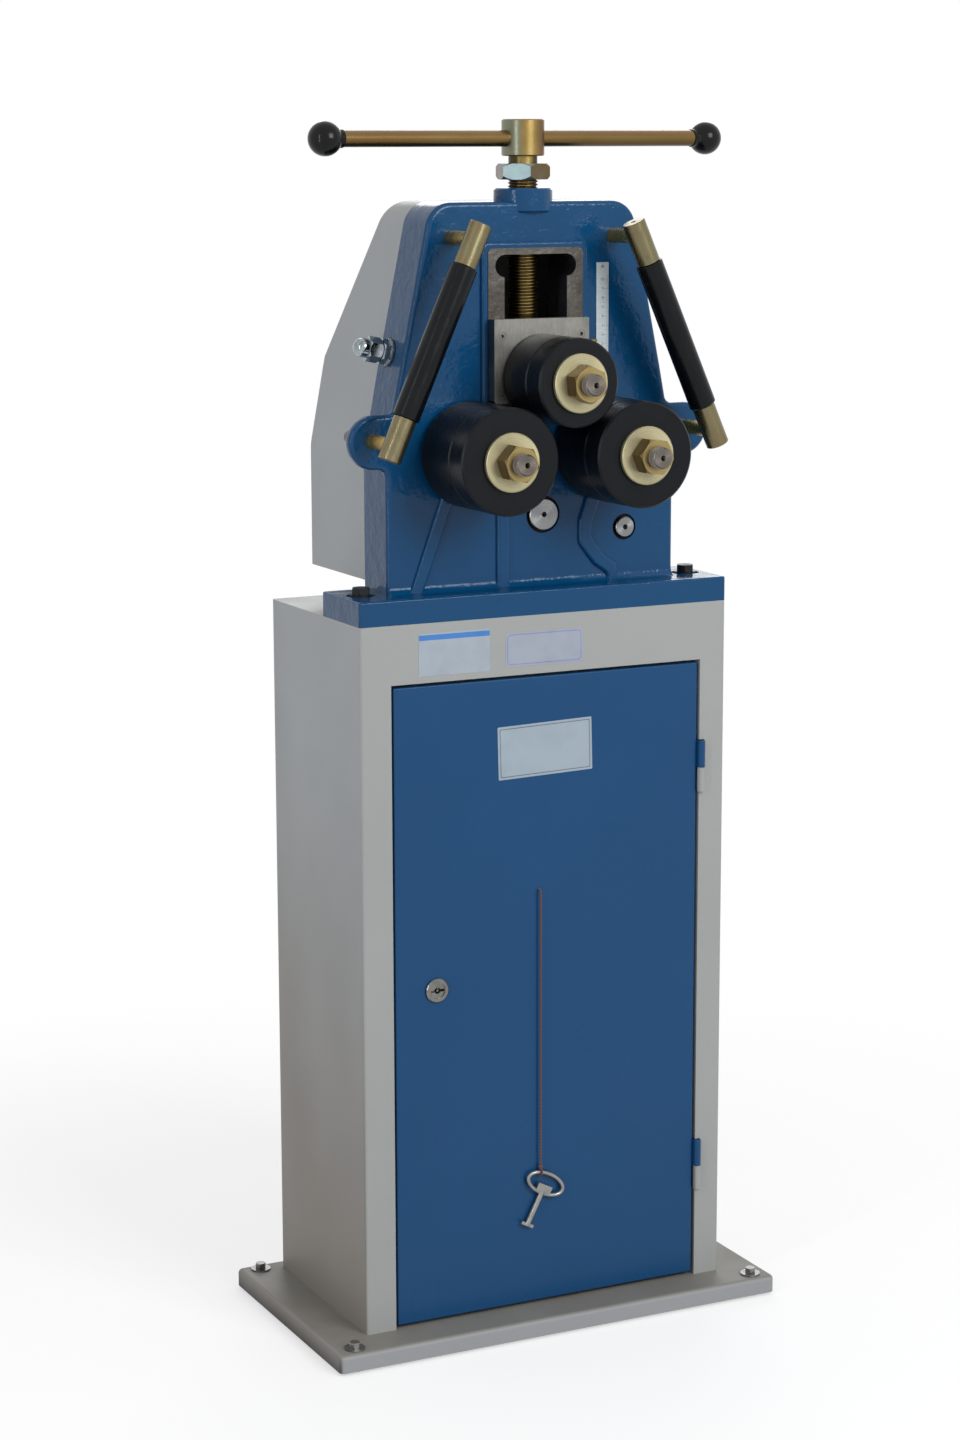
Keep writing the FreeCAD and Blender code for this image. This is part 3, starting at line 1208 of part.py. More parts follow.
def tee_bar():
    """Bar that slides in the hub."""
    half = BAR_HALF - BALL_RADIUS + BAR_IN_BALL
    return rod(BAR_RADIUS, bar_point(-half), bar_axis(), 2.0 * half)


def ball_knob():
    """One ball with its neck and hole, turned about +Z, with the ball's centre at the origin."""
    hole = BAR_RADIUS + TIGHT
    neck_end = -BALL_RADIUS - BALL_NECK_LENGTH
    hole_end = -BALL_RADIUS + BAR_IN_BALL + TIGHT
    neck_top = -math.sqrt(BALL_RADIUS ** 2 - BALL_NECK_RADIUS ** 2)
    corners = [V(0, 0, BALL_RADIUS), V(0, 0, hole_end), V(hole, 0, hole_end), V(hole, 0, neck_end),
               V(BALL_NECK_RADIUS, 0, neck_end), V(BALL_NECK_RADIUS, 0, neck_top)]
    edges = [Part.LineSegment(start, end).toShape() for start, end in zip(corners, corners[1:])]
    edges.append(Part.Arc(corners[-1], V(BALL_RADIUS, 0, 0), corners[0]).toShape())
    section = Part.Face(Part.Wire(edges))
    return section.revolve(V(0, 0, 0), V(0, 0, 1), 360.0)


def ball_knobs():
    """Ball knobs, each with a short neck, on the ends of the bar."""
    knobs = []
    axis = bar_axis()
    for side in (-1, 1):
        outward = (side * axis[0], side * axis[1], 0)
        knobs.append(laid(ball_knob(), bar_point(side * BAR_HALF), outward))
    return group(knobs)


def screw_lock_nut():
    """Thin nut that locks the feed screw against the boss."""
    start = (0, SCREW_Y, LOCK_NUT_BOTTOM)
    height = LOCK_NUT_TOP - LOCK_NUT_BOTTOM
    nut = hexagon(SCREW_NUT_FLATS, start, Z, height)
    nut = nut.cut(rod(SCREW_RADIUS + TIGHT, start, Z, height))
    nut.rotate(V(0, SCREW_Y, 0), V(0, 0, 1), LOCK_NUT_TURN)
    return nut


# ================================================================ rollers
def roller_shaft(x, z, shoulder_front, shoulder_back, end):
    """Shaft with a shoulder behind the roller, a threaded nose and a centre hole."""
    nose_start = ROLLER_FRONT + 1.0
    nose = chamfered_rod(THREAD_RADIUS, (x, SHAFT_TIP, z), Y, nose_start - SHAFT_TIP, 1.5)
    journal = rod(SHAFT_RADIUS, (x, nose_start, z), Y, end - nose_start)
    shoulder = rod(SHOULDER_RADIUS, (x, shoulder_front, z), Y, shoulder_back - shoulder_front)
    centre = Part.makeCone(CENTRE_HOLE_RADIUS, CENTRE_HOLE_TIP, CENTRE_HOLE_DEPTH, V(x, SHAFT_TIP, z),
                           V(0, 1, 0))
    return fused([nose, journal, shoulder]).cut(centre).cut(key_seat(x, z))


def key_seat(x, z):
    """Groove for the roller's key, along the top of the shaft."""
    half = KEY_WIDTH / 2.0
    top = z + SHAFT_RADIUS
    return box((x - half, x + half), (RING_BACK - 20.0, RING_BACK + 30.0), (top - KEY_HEIGHT, top + 1.0))


def roller_bore(x, z, y):
    """Bore and keyway that a roller segment fits on."""
    bore = rod(SHAFT_RADIUS + TIGHT, (x, y[0] - 1.0, z), Y, y[1] - y[0] + 2.0)
    half = KEY_WIDTH / 2.0 + TIGHT
    top = z + SHAFT_RADIUS
    way = box((x - half, x + half), (y[0] - 1.0, y[1] + 1.0), (z, top + KEY_HEIGHT + TIGHT))
    return bore.fuse(way)


def roller_segment(radius, x, z, y):
    """One hardened segment of a roller."""
    body = chamfered_rod(radius, (x, y[0], z), Y, y[1] - y[0], ROLLER_CHAMFER)
    return body.cut(roller_bore(x, z, y))


def roller_washer(x, z):
    """Thick washer that clamps the segments on the shaft."""
    start = (x, ROLLER_FRONT - WASHER_THICKNESS, z)
    washer = chamfered_rod(WASHER_RADIUS, start, Y, WASHER_THICKNESS, 1.0)
    return washer.cut(rod(THREAD_RADIUS + 0.3, start, Y, WASHER_THICKNESS))


def roller_fixings(x, z, turn):
    """Nut on the shaft's nose and key under the segments."""
    start = (x, ROLLER_FRONT - WASHER_THICKNESS - NUT_THICKNESS, z)
    nut = hexagon(NUT_FLATS, start, Y, NUT_THICKNESS)
    nut = nut.cut(rod(THREAD_RADIUS + TIGHT, start, Y, NUT_THICKNESS))
    nut.rotate(V(x, 0, z), V(0, 1, 0), turn)
    half = KEY_WIDTH / 2.0 - TIGHT
    top = z + SHAFT_RADIUS
    fixing_key = box((x - half, x + half), (RING_BACK - 19.9, RING_BACK + 29.9),
                     (top - KEY_HEIGHT + TIGHT, top + KEY_HEIGHT - TIGHT))
    return group([nut, fixing_key])


# ================================================================ gears
def involute(angle):
    """The involute function: the angle a flank has turned through at this pressure angle."""
    return math.tan(angle) - angle


def gear_face(teeth, x, z, y, phase):
    """Face of a spur gear in the plane at y, one tooth centred on the angle phase."""
    pitch = MODULE * teeth / 2.0
    base = pitch * math.cos(PRESSURE_ANGLE)
    tip = pitch + MODULE
    root = pitch - 1.25 * MODULE
    start = max(base, root)
    half_pitch = math.pi / (2.0 * teeth) - TOOTH_THINNING / (2.0 * pitch)

    def half_angle(radius):
        pressure = math.acos(min(1.0, base / radius))
        return half_pitch + involute(PRESSURE_ANGLE) - involute(pressure)

    def spot(radius, angle):
        return V(x + radius * math.cos(angle), y, z + radius * math.sin(angle))

    middle = (start + tip) / 2.0
    edges = []
    for tooth in range(teeth):
        centre = phase + 2.0 * math.pi * tooth / teeth
        following = centre + 2.0 * math.pi / teeth
        foot = half_angle(start)
        waist = half_angle(middle)
        crest = half_angle(tip)
        if start > root + 1e-6:
            edges.append(Part.LineSegment(spot(root, centre - foot), spot(start, centre - foot)).toShape())
        edges.append(Part.Arc(spot(start, centre - foot), spot(middle, centre - waist),
                              spot(tip, centre - crest)).toShape())
        edges.append(Part.Arc(spot(tip, centre - crest), spot(tip, centre),
                              spot(tip, centre + crest)).toShape())
        edges.append(Part.Arc(spot(tip, centre + crest), spot(middle, centre + waist),
                              spot(start, centre + foot)).toShape())
        if start > root + 1e-6:
            edges.append(Part.LineSegment(spot(start, centre + foot), spot(root, centre + foot)).toShape())
        gap = (centre + following) / 2.0
        edges.append(Part.Arc(spot(root, centre + foot), spot(root, gap),
                              spot(root, following - foot)).toShape())
    return Part.Face(Part.Wire(edges))


def gear(teeth, x, z, y, phase, bore):
    """Spur gear of the train, bored for its shaft."""
    body = gear_face(teeth, x, z, y, phase).extrude(V(0, GEAR_WIDTH, 0))
    return body.cut(rod(bore, (x, y - 1.0, z), Y, GEAR_WIDTH + 2.0))


def direction(from_x, from_z, to_x, to_z):
    """Angle in the XZ plane from one axis to another."""
    return math.atan2(to_z - from_z, to_x - from_x)


def left_gear():
    """Gear on the left roller's shaft."""
    phase = direction(-LOWER_X, LOWER_Z, IDLER_X, IDLER_Z)
    return gear(LEFT_TEETH, -LOWER_X, LOWER_Z, LEFT_PLANE, phase, SHAFT_RADIUS + TIGHT)


def right_gear():
    """Gear on the right roller's shaft."""
    phase = direction(LOWER_X, LOWER_Z, IDLER_X, IDLER_Z)
    return gear(RIGHT_TEETH, LOWER_X, LOWER_Z, RIGHT_PLANE, phase, SHAFT_RADIUS + TIGHT)


def idler_gears():
    """Three gears keyed on the idler shaft, each in the plane of its partner."""
    to_left = direction(IDLER_X, IDLER_Z, -LOWER_X, LOWER_Z) + math.pi / LEFT_PINION_TEETH
    to_right = direction(IDLER_X, IDLER_Z, LOWER_X, LOWER_Z) + math.pi / RIGHT_PINION_TEETH
    to_drive = direction(IDLER_X, IDLER_Z, DRIVE_X, DRIVE_Z)
    bore = IDLER_RADIUS + TIGHT
    return group([
        gear(LEFT_PINION_TEETH, IDLER_X, IDLER_Z, LEFT_PLANE, to_left, bore),
        gear(RIGHT_PINION_TEETH, IDLER_X, IDLER_Z, RIGHT_PLANE, to_right, bore),
        gear(IDLER_TEETH, IDLER_X, IDLER_Z, DRIVE_PLANE, to_drive, bore),
    ])


def drive_pinion():
    """Pinion on the crankshaft."""
    phase = direction(DRIVE_X, DRIVE_Z, IDLER_X, IDLER_Z) + math.pi / DRIVE_TEETH
    return gear(DRIVE_TEETH, DRIVE_X, DRIVE_Z, DRIVE_PLANE, phase, DRIVE_RADIUS + TIGHT)


def plain_shaft(x, z, radius, end):
    """Shaft that shows its centred end in the casting's front."""
    front = FACE - SHAFT_PROUD
    shaft = chamfered_rod(radius, (x, front, z), Y, end - front, 1.0)
    centre = Part.makeCone(CENTRE_HOLE_RADIUS, CENTRE_HOLE_TIP, CENTRE_HOLE_DEPTH, V(x, front, z),
                           V(0, 1, 0))
    return shaft.cut(centre)


def drive_shaft():
    """Crankshaft: its rear end stands out of the cover with a keyway for the crank."""
    shaft = plain_shaft(DRIVE_X, DRIVE_Z, DRIVE_RADIUS, DRIVE_STUB_START)
    stub_start = (DRIVE_X, DRIVE_STUB_START - 5.0, DRIVE_Z)
    stub_length = DRIVE_END - DRIVE_STUB_START + 5.0
    shaft = fused([shaft, chamfered_rod(DRIVE_STUB_RADIUS, stub_start, Y, stub_length, 1.0)])
    half = KEYWAY_WIDTH / 2.0
    top = DRIVE_Z + DRIVE_STUB_RADIUS
    keyway = box((DRIVE_X - half, DRIVE_X + half), (DRIVE_END - KEYWAY_LENGTH, DRIVE_END + 1.0),
                 (top - KEYWAY_DEPTH, top + 1.0))
    return shaft.cut(keyway)


# ================================================================ scale, side handles, gib
def scale_rule():
    """Plain rule on the casting beside the slide."""
    return box(SCALE_X, (FACE - SCALE_THICKNESS, FACE), SCALE_Z)


def handle_direction(side):
    """Direction of one handle, from its upper end to its lower."""
    along = V(side * (HANDLE_LOWER[0] - HANDLE_UPPER[0]), 0, HANDLE_LOWER[1] - HANDLE_UPPER[1])
    along.normalize()
    return along


def handle_points(side):
    """Upper and lower pin points of one handle, on the bar's axis."""
    upper = V(side * HANDLE_UPPER[0], HANDLE_Y, HANDLE_UPPER[1])
    lower = V(side * HANDLE_LOWER[0], HANDLE_Y, HANDLE_LOWER[1])
    return upper, lower


def handle_end_blocks():
    """Round end blocks of both side handles, bored for the pins and rods."""
    blocks = []
    for side in (-1, 1):
        along = handle_direction(side)
        upper, lower = handle_points(side)
        for point, heading in ((upper, along), (lower, along * -1.0)):
            start = point - heading * HANDLE_BLOCK_OUT
            length = HANDLE_BLOCK_OUT + HANDLE_BLOCK_IN
            block = chamfered_rod(HANDLE_BLOCK_RADIUS, tuple(start), tuple(heading), length, 0.8)
            pin_hole = rod(HANDLE_PIN_RADIUS + TIGHT, tuple(point), Y, 40.0)
            seat = point + heading * (HANDLE_BLOCK_IN - HANDLE_ROD_IN_BLOCK)
            rod_hole = rod(HANDLE_ROD_RADIUS + TIGHT, tuple(seat), tuple(heading), 40.0)
            end_hole = rod(BLOCK_HOLE_RADIUS, tuple(start), tuple(heading), BLOCK_HOLE_DEPTH)
            blocks.append(block.cut(pin_hole).cut(rod_hole).cut(end_hole))
    return group(blocks)


def handle_pins():
    """Stand-off pins of the handles; the lower ones pass through the ears and carry nuts."""
    pieces = []
    front = HANDLE_Y + 0.1
    nut_y = FACE + ear_thickness()
    for side in (-1, 1):
        for point, end in ((HANDLE_UPPER, FACE + HANDLE_PIN_DEPTH - 1.0), (HANDLE_LOWER, HANDLE_STUD_END)):
            pieces.append(rod(HANDLE_PIN_RADIUS, (side * point[0], front, point[1]), Y, end - front))
        nut_start = (side * HANDLE_LOWER[0], nut_y, HANDLE_LOWER[1])
        nut = hexagon(HANDLE_NUT_FLATS, nut_start, Y, HANDLE_NUT_THICKNESS)
        pieces.append(nut.cut(rod(HANDLE_PIN_RADIUS + TIGHT, nut_start, Y, HANDLE_NUT_THICKNESS)))
    return group(pieces)


def handle_rods():
    """Steel rods inside the grips."""
    rods = []
    for side in (-1, 1):
        along = handle_direction(side)
        upper, lower = handle_points(side)
        start = upper + along * (HANDLE_BLOCK_IN - HANDLE_ROD_IN_BLOCK)
        end = lower - along * (HANDLE_BLOCK_IN - HANDLE_ROD_IN_BLOCK)
        rods.append(rod(HANDLE_ROD_RADIUS, tuple(start), tuple(along), (end - start).Length))
    return group(rods)


def handle_grips():
    """Black sleeves over the rods, one on each handle."""
    grips = []
    for side in (-1, 1):
        along = handle_direction(side)
        upper, lower = handle_points(side)
        start = upper + along * (HANDLE_BLOCK_IN + 0.2)
        length = (lower - upper).Length - 2.0 * HANDLE_BLOCK_IN - 0.4
        sleeve = chamfered_rod(GRIP_RADIUS, tuple(start), tuple(along), length, 0.8)
        grips.append(sleeve.cut(rod(HANDLE_ROD_RADIUS + TIGHT, tuple(start), tuple(along), length)))
    return group(grips)


def gib_strip():
    """Bronze strip that takes up the slide's side play."""
    x = (POCKET_LEFT + TIGHT, POCKET_LEFT + GIB_THICKNESS)
    return box(x, (RAIL_BACK + SLIDING, BLOCK_BACK), (WINDOW_BOTTOM + 1.0, WINDOW_TOP - 30.0))


def gib_screw():
    """Stud that presses on the gib strip through the casting's left side."""
    outer = GIB_WASHER_THICKNESS + GIB_JAM_NUT + GIB_BARE_STUD + GIB_CAP_HOLE - 0.5
    return rod(GIB_SCREW_RADIUS, gib_point(outer), gib_inward(), outer + GIB_STUD_DEPTH - 1.0)


def gib_nuts():
    """Washer, jam nut and domed cap nut of the gib screw."""
    hole = GIB_SCREW_RADIUS + TIGHT
    washer = tube(GIB_WASHER_RADIUS, hole, gib_point(0.0), gib_outward(), GIB_WASHER_THICKNESS)
    nut_start = gib_point(GIB_WASHER_THICKNESS)
    nut = hexagon(GIB_NUT_FLATS, nut_start, gib_outward(), GIB_JAM_NUT)
    nut = nut.cut(rod(hole, nut_start, gib_outward(), GIB_JAM_NUT))
    return group([washer, nut, gib_cap()])


def gib_cap():
    """Domed cap nut on the end of the gib screw."""
    start = GIB_WASHER_THICKNESS + GIB_JAM_NUT + GIB_BARE_STUD
    neck_start = start + GIB_CAP_HEX
    straight = GIB_DOME_LENGTH - GIB_DOME_RADIUS
    base = hexagon(GIB_NUT_FLATS, gib_point(start), gib_outward(), GIB_CAP_HEX)
    neck = rod(GIB_DOME_RADIUS, gib_point(neck_start), gib_outward(), straight)
    dome = Part.makeSphere(GIB_DOME_RADIUS, V(*gib_point(neck_start + straight)))
    cap = fused([base, neck, dome])
    return cap.cut(rod(GIB_SCREW_RADIUS + TIGHT, gib_point(start), gib_outward(), GIB_CAP_HOLE))


# ================================================================ all nodes
def roller_nodes(name, x, z, radius, back, shoulder_back, end, turn):
    """The pieces that turn with one roller, apart from its gear."""
    return {
        name + "_shaft": roller_shaft(x, z, back, shoulder_back, end),
        name + "_roller": roller_segment(radius, x, z, (RING_BACK, back)),
        name + "_roller_ring": roller_segment(radius, x, z, (ROLLER_FRONT, RING_BACK)),
        name + "_washer": roller_washer(x, z),
        name + "_nut_and_key": roller_fixings(x, z, turn),
    }


def all_nodes():
    """Every node's shape by name."""
    plate_front = WAY_FACE - SLIDING - PLATE_THICKNESS
    gear_end = LEFT_PLANE + GEAR_WIDTH + 2.0
    nodes = {
        "base_plate": base_plate(),
        "rubber_feet": rubber_feet(),
        "base_bolts": base_bolts(),
        "cabinet_shell": cabinet_shell(),
        "top_stiffener": top_stiffener(),
        "hinge_lower_halves": hinge_lower_halves(),
        "hinge_upper_halves": hinge_upper_halves(),
        "door_panel": door_panel(),
        "lock_housing": lock_housing(),
        "lock_core": lock_core(),
        "lock_cam": lock_cam(),
        "key": key(),
        "cord_knot": cord_knot(),
        "key_cord": key_cord(),
        "head_casting": head_casting(),
        "head_bolts": head_bolts(),
        "shaft_bushes": shaft_bushes(),
        "rear_cover": rear_cover(),
        "cover_posts": cover_posts(),
        "cover_screws": cover_screws(),
        "crank_bearing": crank_bearing(),
        "slide_front_plate": slide_front_plate(),
        "slide_block": slide_block(),
        "slide_screws": slide_screws(),
        "upper_bushes": upper_bushes(),
        "scale_pointer": scale_pointer(),
        "scale_rule": scale_rule(),
        "lead_screw": lead_screw(),
        "tee_hub": tee_hub(),
        "tee_bar": tee_bar(),
        "ball_knobs": ball_knobs(),
        "screw_lock_nut": screw_lock_nut(),
        "left_gear": left_gear(),
        "right_gear": right_gear(),
        "idler_shaft": plain_shaft(IDLER_X, IDLER_Z, IDLER_RADIUS, DRIVE_PLANE + GEAR_WIDTH + 4.0),
        "idler_gears": idler_gears(),
        "drive_shaft": drive_shaft(),
        "drive_pinion": drive_pinion(),
        "handle_end_blocks": handle_end_blocks(),
        "handle_pins": handle_pins(),
        "handle_rods": handle_rods(),
        "handle_grips": handle_grips(),
        "gib_strip": gib_strip(),
        "gib_screw": gib_screw(),
        "gib_nuts": gib_nuts(),
    }
    face = FACE - 0.2
    nodes.update(roller_nodes("left", -LOWER_X, LOWER_Z, LOWER_RADIUS, LOWER_BACK, face, gear_end, 12.0))
    right_end = RIGHT_PLANE + GEAR_WIDTH + 2.0
    nodes.update(roller_nodes("right", LOWER_X, LOWER_Z, LOWER_RADIUS, LOWER_BACK, face, right_end, 7.0))
    upper_face = plate_front - 0.2
    nodes.update(roller_nodes("upper", 0.0, ROLLER_AXIS_TOP, UPPER_RADIUS, UPPER_BACK, upper_face,
                              BLOCK_BACK + 3.0, 25.0))
    return nodes


os.makedirs("parts", exist_ok=True)
for node_name, node_shape in all_nodes().items():
    node_shape.exportStep("parts/" + node_name + ".step")
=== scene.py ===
"""Three-roller ring bender: surfaces, small pieces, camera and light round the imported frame."""
import math

import bmesh
import bpy
from mathutils import Matrix, Vector
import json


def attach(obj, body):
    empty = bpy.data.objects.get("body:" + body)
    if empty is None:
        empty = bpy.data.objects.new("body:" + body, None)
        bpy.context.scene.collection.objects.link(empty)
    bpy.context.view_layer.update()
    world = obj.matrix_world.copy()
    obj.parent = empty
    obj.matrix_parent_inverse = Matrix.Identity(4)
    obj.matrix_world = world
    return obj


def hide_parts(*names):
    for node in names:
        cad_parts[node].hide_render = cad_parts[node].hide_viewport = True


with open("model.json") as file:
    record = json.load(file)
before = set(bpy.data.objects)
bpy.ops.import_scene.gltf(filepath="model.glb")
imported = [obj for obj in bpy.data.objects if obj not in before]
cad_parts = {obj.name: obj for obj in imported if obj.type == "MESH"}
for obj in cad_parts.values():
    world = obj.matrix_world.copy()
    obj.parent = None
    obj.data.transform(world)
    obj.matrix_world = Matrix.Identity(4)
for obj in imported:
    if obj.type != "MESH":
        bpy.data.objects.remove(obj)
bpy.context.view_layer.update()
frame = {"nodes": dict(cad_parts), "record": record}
nodes = frame["nodes"]
MM = 0.001

# Places on the solids, in metres: X and Z of the axes that run along Y, and Y of the upright feed screw.
ROLLER_AXES = {"left": (-0.081, 0.992), "right": (0.081, 0.992), "upper": (0.0, 1.072)}
GEAR_SHAFT_AXES = {"idler": (0.012, 0.921), "drive": (0.11365, 0.9015)}
SCREW_Y = -0.044

# ---------------------------------------------------------------- camera

CAMERA_PLACE = Vector((-1.53306, -3.0425, 1.3211))
CAMERA_AZIMUTH = math.radians(-26.263)
CAMERA_DOWN = math.radians(10.647)
CAMERA_ROLL = math.radians(-0.160)
CAMERA_LENS = 76.645
CAMERA_SENSOR = 36.0
CAMERA_REACH = 60.0


def add_camera():
    """Camera at the photograph's place, looking along its axis."""
    azimuth, down, roll = CAMERA_AZIMUTH, CAMERA_DOWN, CAMERA_ROLL
    forward = Vector((-math.sin(azimuth) * math.cos(down), math.cos(azimuth) * math.cos(down),
                      -math.sin(down)))
    level = Vector((math.cos(azimuth), math.sin(azimuth), 0.0))
    right = math.cos(roll) * level + math.sin(roll) * level.cross(forward)
    up = right.cross(forward)
    data = bpy.data.cameras.new("camera")
    data.lens = CAMERA_LENS
    data.sensor_width = CAMERA_SENSOR
    data.clip_end = CAMERA_REACH
    camera = bpy.data.objects.new("camera", data)
    bpy.context.scene.collection.objects.link(camera)
    camera.matrix_world = Matrix((
        (right.x, up.x, -forward.x, CAMERA_PLACE.x),
        (right.y, up.y, -forward.y, CAMERA_PLACE.y),
        (right.z, up.z, -forward.z, CAMERA_PLACE.z),
        (0.0, 0.0, 0.0, 1.0)))
    bpy.context.scene.camera = camera


add_camera()

# ---------------------------------------------------------------- node helpers


def linear(rgb):
    """A colour given in screen values from 0 to 255, as the shader's linear colour."""
    channels = []
    for value in rgb:
        value /= 255.0
        channels.append(value / 12.92 if value <= 0.04045 else ((value + 0.055) / 1.055) ** 2.4)
    return (channels[0], channels[1], channels[2], 1.0)


def shade(rgb, share):
    """A colour at this share of its brightness."""
    return tuple(value * share for value in rgb)


class NodeTree:
    """Makes and links the nodes of one tree. A value is a plain one or the socket that it comes from."""

    def __init__(self, tree):
        self.tree = tree

    def new(self, kind, **settings):
        node = self.tree.nodes.new(kind)
        for key, value in settings.items():
            setattr(node, key, value)
        return node

    def feed(self, socket, value):
        if isinstance(value, bpy.types.NodeSocket):
            self.tree.links.new(value, socket)
        else:
            socket.default_value = value

    def math(self, operation, first, second=0.0, **settings):
        node = self.new("ShaderNodeMath", operation=operation, **settings)
        self.feed(node.inputs[0], first)
        self.feed(node.inputs[1], second)
        return node.outputs[0]

    def ramp(self, value, low, high, start=0.0, end=1.0, **settings):
        """value carried from low..high to start..end, and held there outside."""
        node = self.new("ShaderNodeMapRange", clamp=True, **settings)
        for socket, item in zip(node.inputs, (value, low, high, start, end)):
            self.feed(socket, item)
        return node.outputs[0]

    def seen_directly(self):
        """1 for rays from the camera or from a mirror or glass, and 0 for diffuse light."""
        path = self.new("ShaderNodeLightPath")
        total = path.outputs["Is Camera Ray"]
        for name in ("Is Glossy Ray", "Is Transmission Ray"):
            total = self.math("ADD", total, path.outputs[name], use_clamp=True)
        return total


class Surface(NodeTree):
    """A node material: the Principled shader, with detail worked out from object coordinates."""

    def __init__(self, name, **sockets):
        self.material = bpy.data.materials.new(name)
        self.material.use_nodes = True
        super().__init__(self.material.node_tree)
        self.shader = self.tree.nodes["Principled BSDF"]
        for key, value in sockets.items():
            self.shader.inputs[key.replace("_", " ")].default_value = value
        self.place = self.new("ShaderNodeTexCoord").outputs["Object"]
        split = self.new("ShaderNodeSeparateXYZ")
        self.feed(split.inputs[0], self.place)
        self.x, self.y, self.z = split.outputs

    def noise(self, scale, detail, stretch=(1.0, 1.0, 1.0), at=None, rough=0.5):
        """Noise from 0 to 1 with features of about 1 / scale metres."""
        mapping = self.new("ShaderNodeMapping")
        self.feed(mapping.inputs["Vector"], at or self.place)
        mapping.inputs["Scale"].default_value = stretch
        node = self.new("ShaderNodeTexNoise")
        self.feed(node.inputs["Vector"], mapping.outputs[0])
        node.inputs["Scale"].default_value = scale
        node.inputs["Detail"].default_value = detail
        node.inputs["Roughness"].default_value = rough
        return node.outputs["Fac"]

    def patches(self, scale, detail, low, high, start=0.0, end=1.0, **noise):
        """Noise carried from low..high to start..end."""
        return self.ramp(self.noise(scale, detail, **noise), low, high, start, end)

    def mix(self, share, first, second):
        """One colour turning into another. A colour is screen values or a socket."""
        node = self.new("ShaderNodeMix", data_type="RGBA")
        self.feed(node.inputs[0], share)
        self.feed(node.inputs[6], linear(first) if isinstance(first, tuple) else first)
        self.feed(node.inputs[7], linear(second) if isinstance(second, tuple) else second)
        return node.outputs[2]

    def tinted(self, base, mask, strength, rgb):
        """base with a colour laid over it, as strong as the mask times strength."""
        return self.mix(self.math("MULTIPLY", mask, strength), base, rgb)

    def within(self, value, low, high):
        """1 where value lies between low and high."""
        above = self.math("GREATER_THAN", value, low)
        return self.math("MULTIPLY", above, self.math("LESS_THAN", value, high))

    def both(self, *masks):
        result = masks[0]
        for mask in masks[1:]:
            result = self.math("MULTIPLY", result, mask)
        return result

    def distance(self, first, second):
        """Distance from the origin of two coordinates."""
        square = self.math("ADD", self.math("MULTIPLY", first, first), self.math("MULTIPLY", second, second))
        return self.math("SQRT", square)

    def about(self, x, z):
        """Distance from an axis along Y and the place along it, as a vector to feed noise."""
        join = self.new("ShaderNodeCombineXYZ")
        radius = self.distance(self.math("SUBTRACT", self.x, x), self.math("SUBTRACT", self.z, z))
        self.feed(join.inputs[0], radius)
        self.feed(join.inputs[1], self.y)
        return join.outputs[0]

    def facing(self, way, start, end):
        """0 where the surface faces less than start along an axis and its sign, 1 where more than end."""
        axis, sign = way
        split = self.new("ShaderNodeSeparateXYZ")
        self.feed(split.inputs[0], self.new("ShaderNodeTexCoord").outputs["Normal"])
        return self.ramp(self.math("MULTIPLY", split.outputs[axis], sign), start, end)

    def source(self, name):
        """The socket that feeds one of the shader's inputs."""
        return self.shader.inputs[name].links[0].from_socket

    def bump(self, height, distance):
        """Raises the surface by height times distance metres, on top of earlier bumps."""
        node = self.new("ShaderNodeBump")
        node.inputs["Strength"].default_value = 1.0
        node.inputs["Distance"].default_value = distance
        self.feed(node.inputs["Height"], height)
        if self.shader.inputs["Normal"].is_linked:
            self.feed(node.inputs["Normal"], self.source("Normal"))
        self.feed(self.shader.inputs["Normal"], node.outputs[0])

    def colour(self, value):
        self.feed(self.shader.inputs["Base Color"], value)

    def roughness(self, value):
        self.feed(self.shader.inputs["Roughness"], value)

    def metallic(self, value):
        self.feed(self.shader.inputs["Metallic"], value)


# ---------------------------------------------------------------- surfaces

# Limits along the axes, in metres, of the casting's bare parts: the ground way on its front and the pocket,
# whose dark grey is painted shade.
WAY_FRONT = -0.0742
WAY_X, WAY_Z = (-0.0578, 0.0578), (1.0295, 1.2115)
POCKET_X, POCKET_Y, POCKET_Z = (-0.0542, 0.0542), (-0.0738, 0.2), (1.0295, 1.2045)
# Radii between which the feed screw's thread turns from a root dark with oil and painted shade to a rubbed
# crest.
THREAD_ROOT, THREAD_CREST = 0.0148, 0.0162
# Ways that a surface faces: the number of the axis, and the sign along it.
LEFT, RIGHT, UP, DOWN = (0, -1.0), (0, 1.0), (2, 1.0), (2, -1.0)
# What lies on the surfaces, and painted shade, in screen values: the bar's underside, the thread's flanks and
# the twine between its fibres get painted shade, and the thread's roots get oil and painted shade.
SETTLED_DUST, HANDLING_DUST = (206, 202, 192), (120, 116, 108)
WAY_OIL, BAR_UNDERSIDE_SHADE, THREAD_ROOT_OIL_AND_SHADE, THREAD_SIDE_SHADE = (58, 54, 48), (66, 52, 36), (74, 60, 36), (44, 37, 27)
PITS, RUST, STAIN, TWINE_SHADOW = (58, 52, 46), (86, 58, 40), (140, 142, 136), (66, 44, 44)
# Heights of the finest bumps, in metres.
PLATE_BUMP, GROUND_BUMP, LATHE_BUMP, PRINT_BUMP = 0.000004, 0.000006, 0.00001, 0.00002
PORE_BUMP, CAST_BUMP, PLY_BUMP = 0.00006, 0.0002, 0.0003


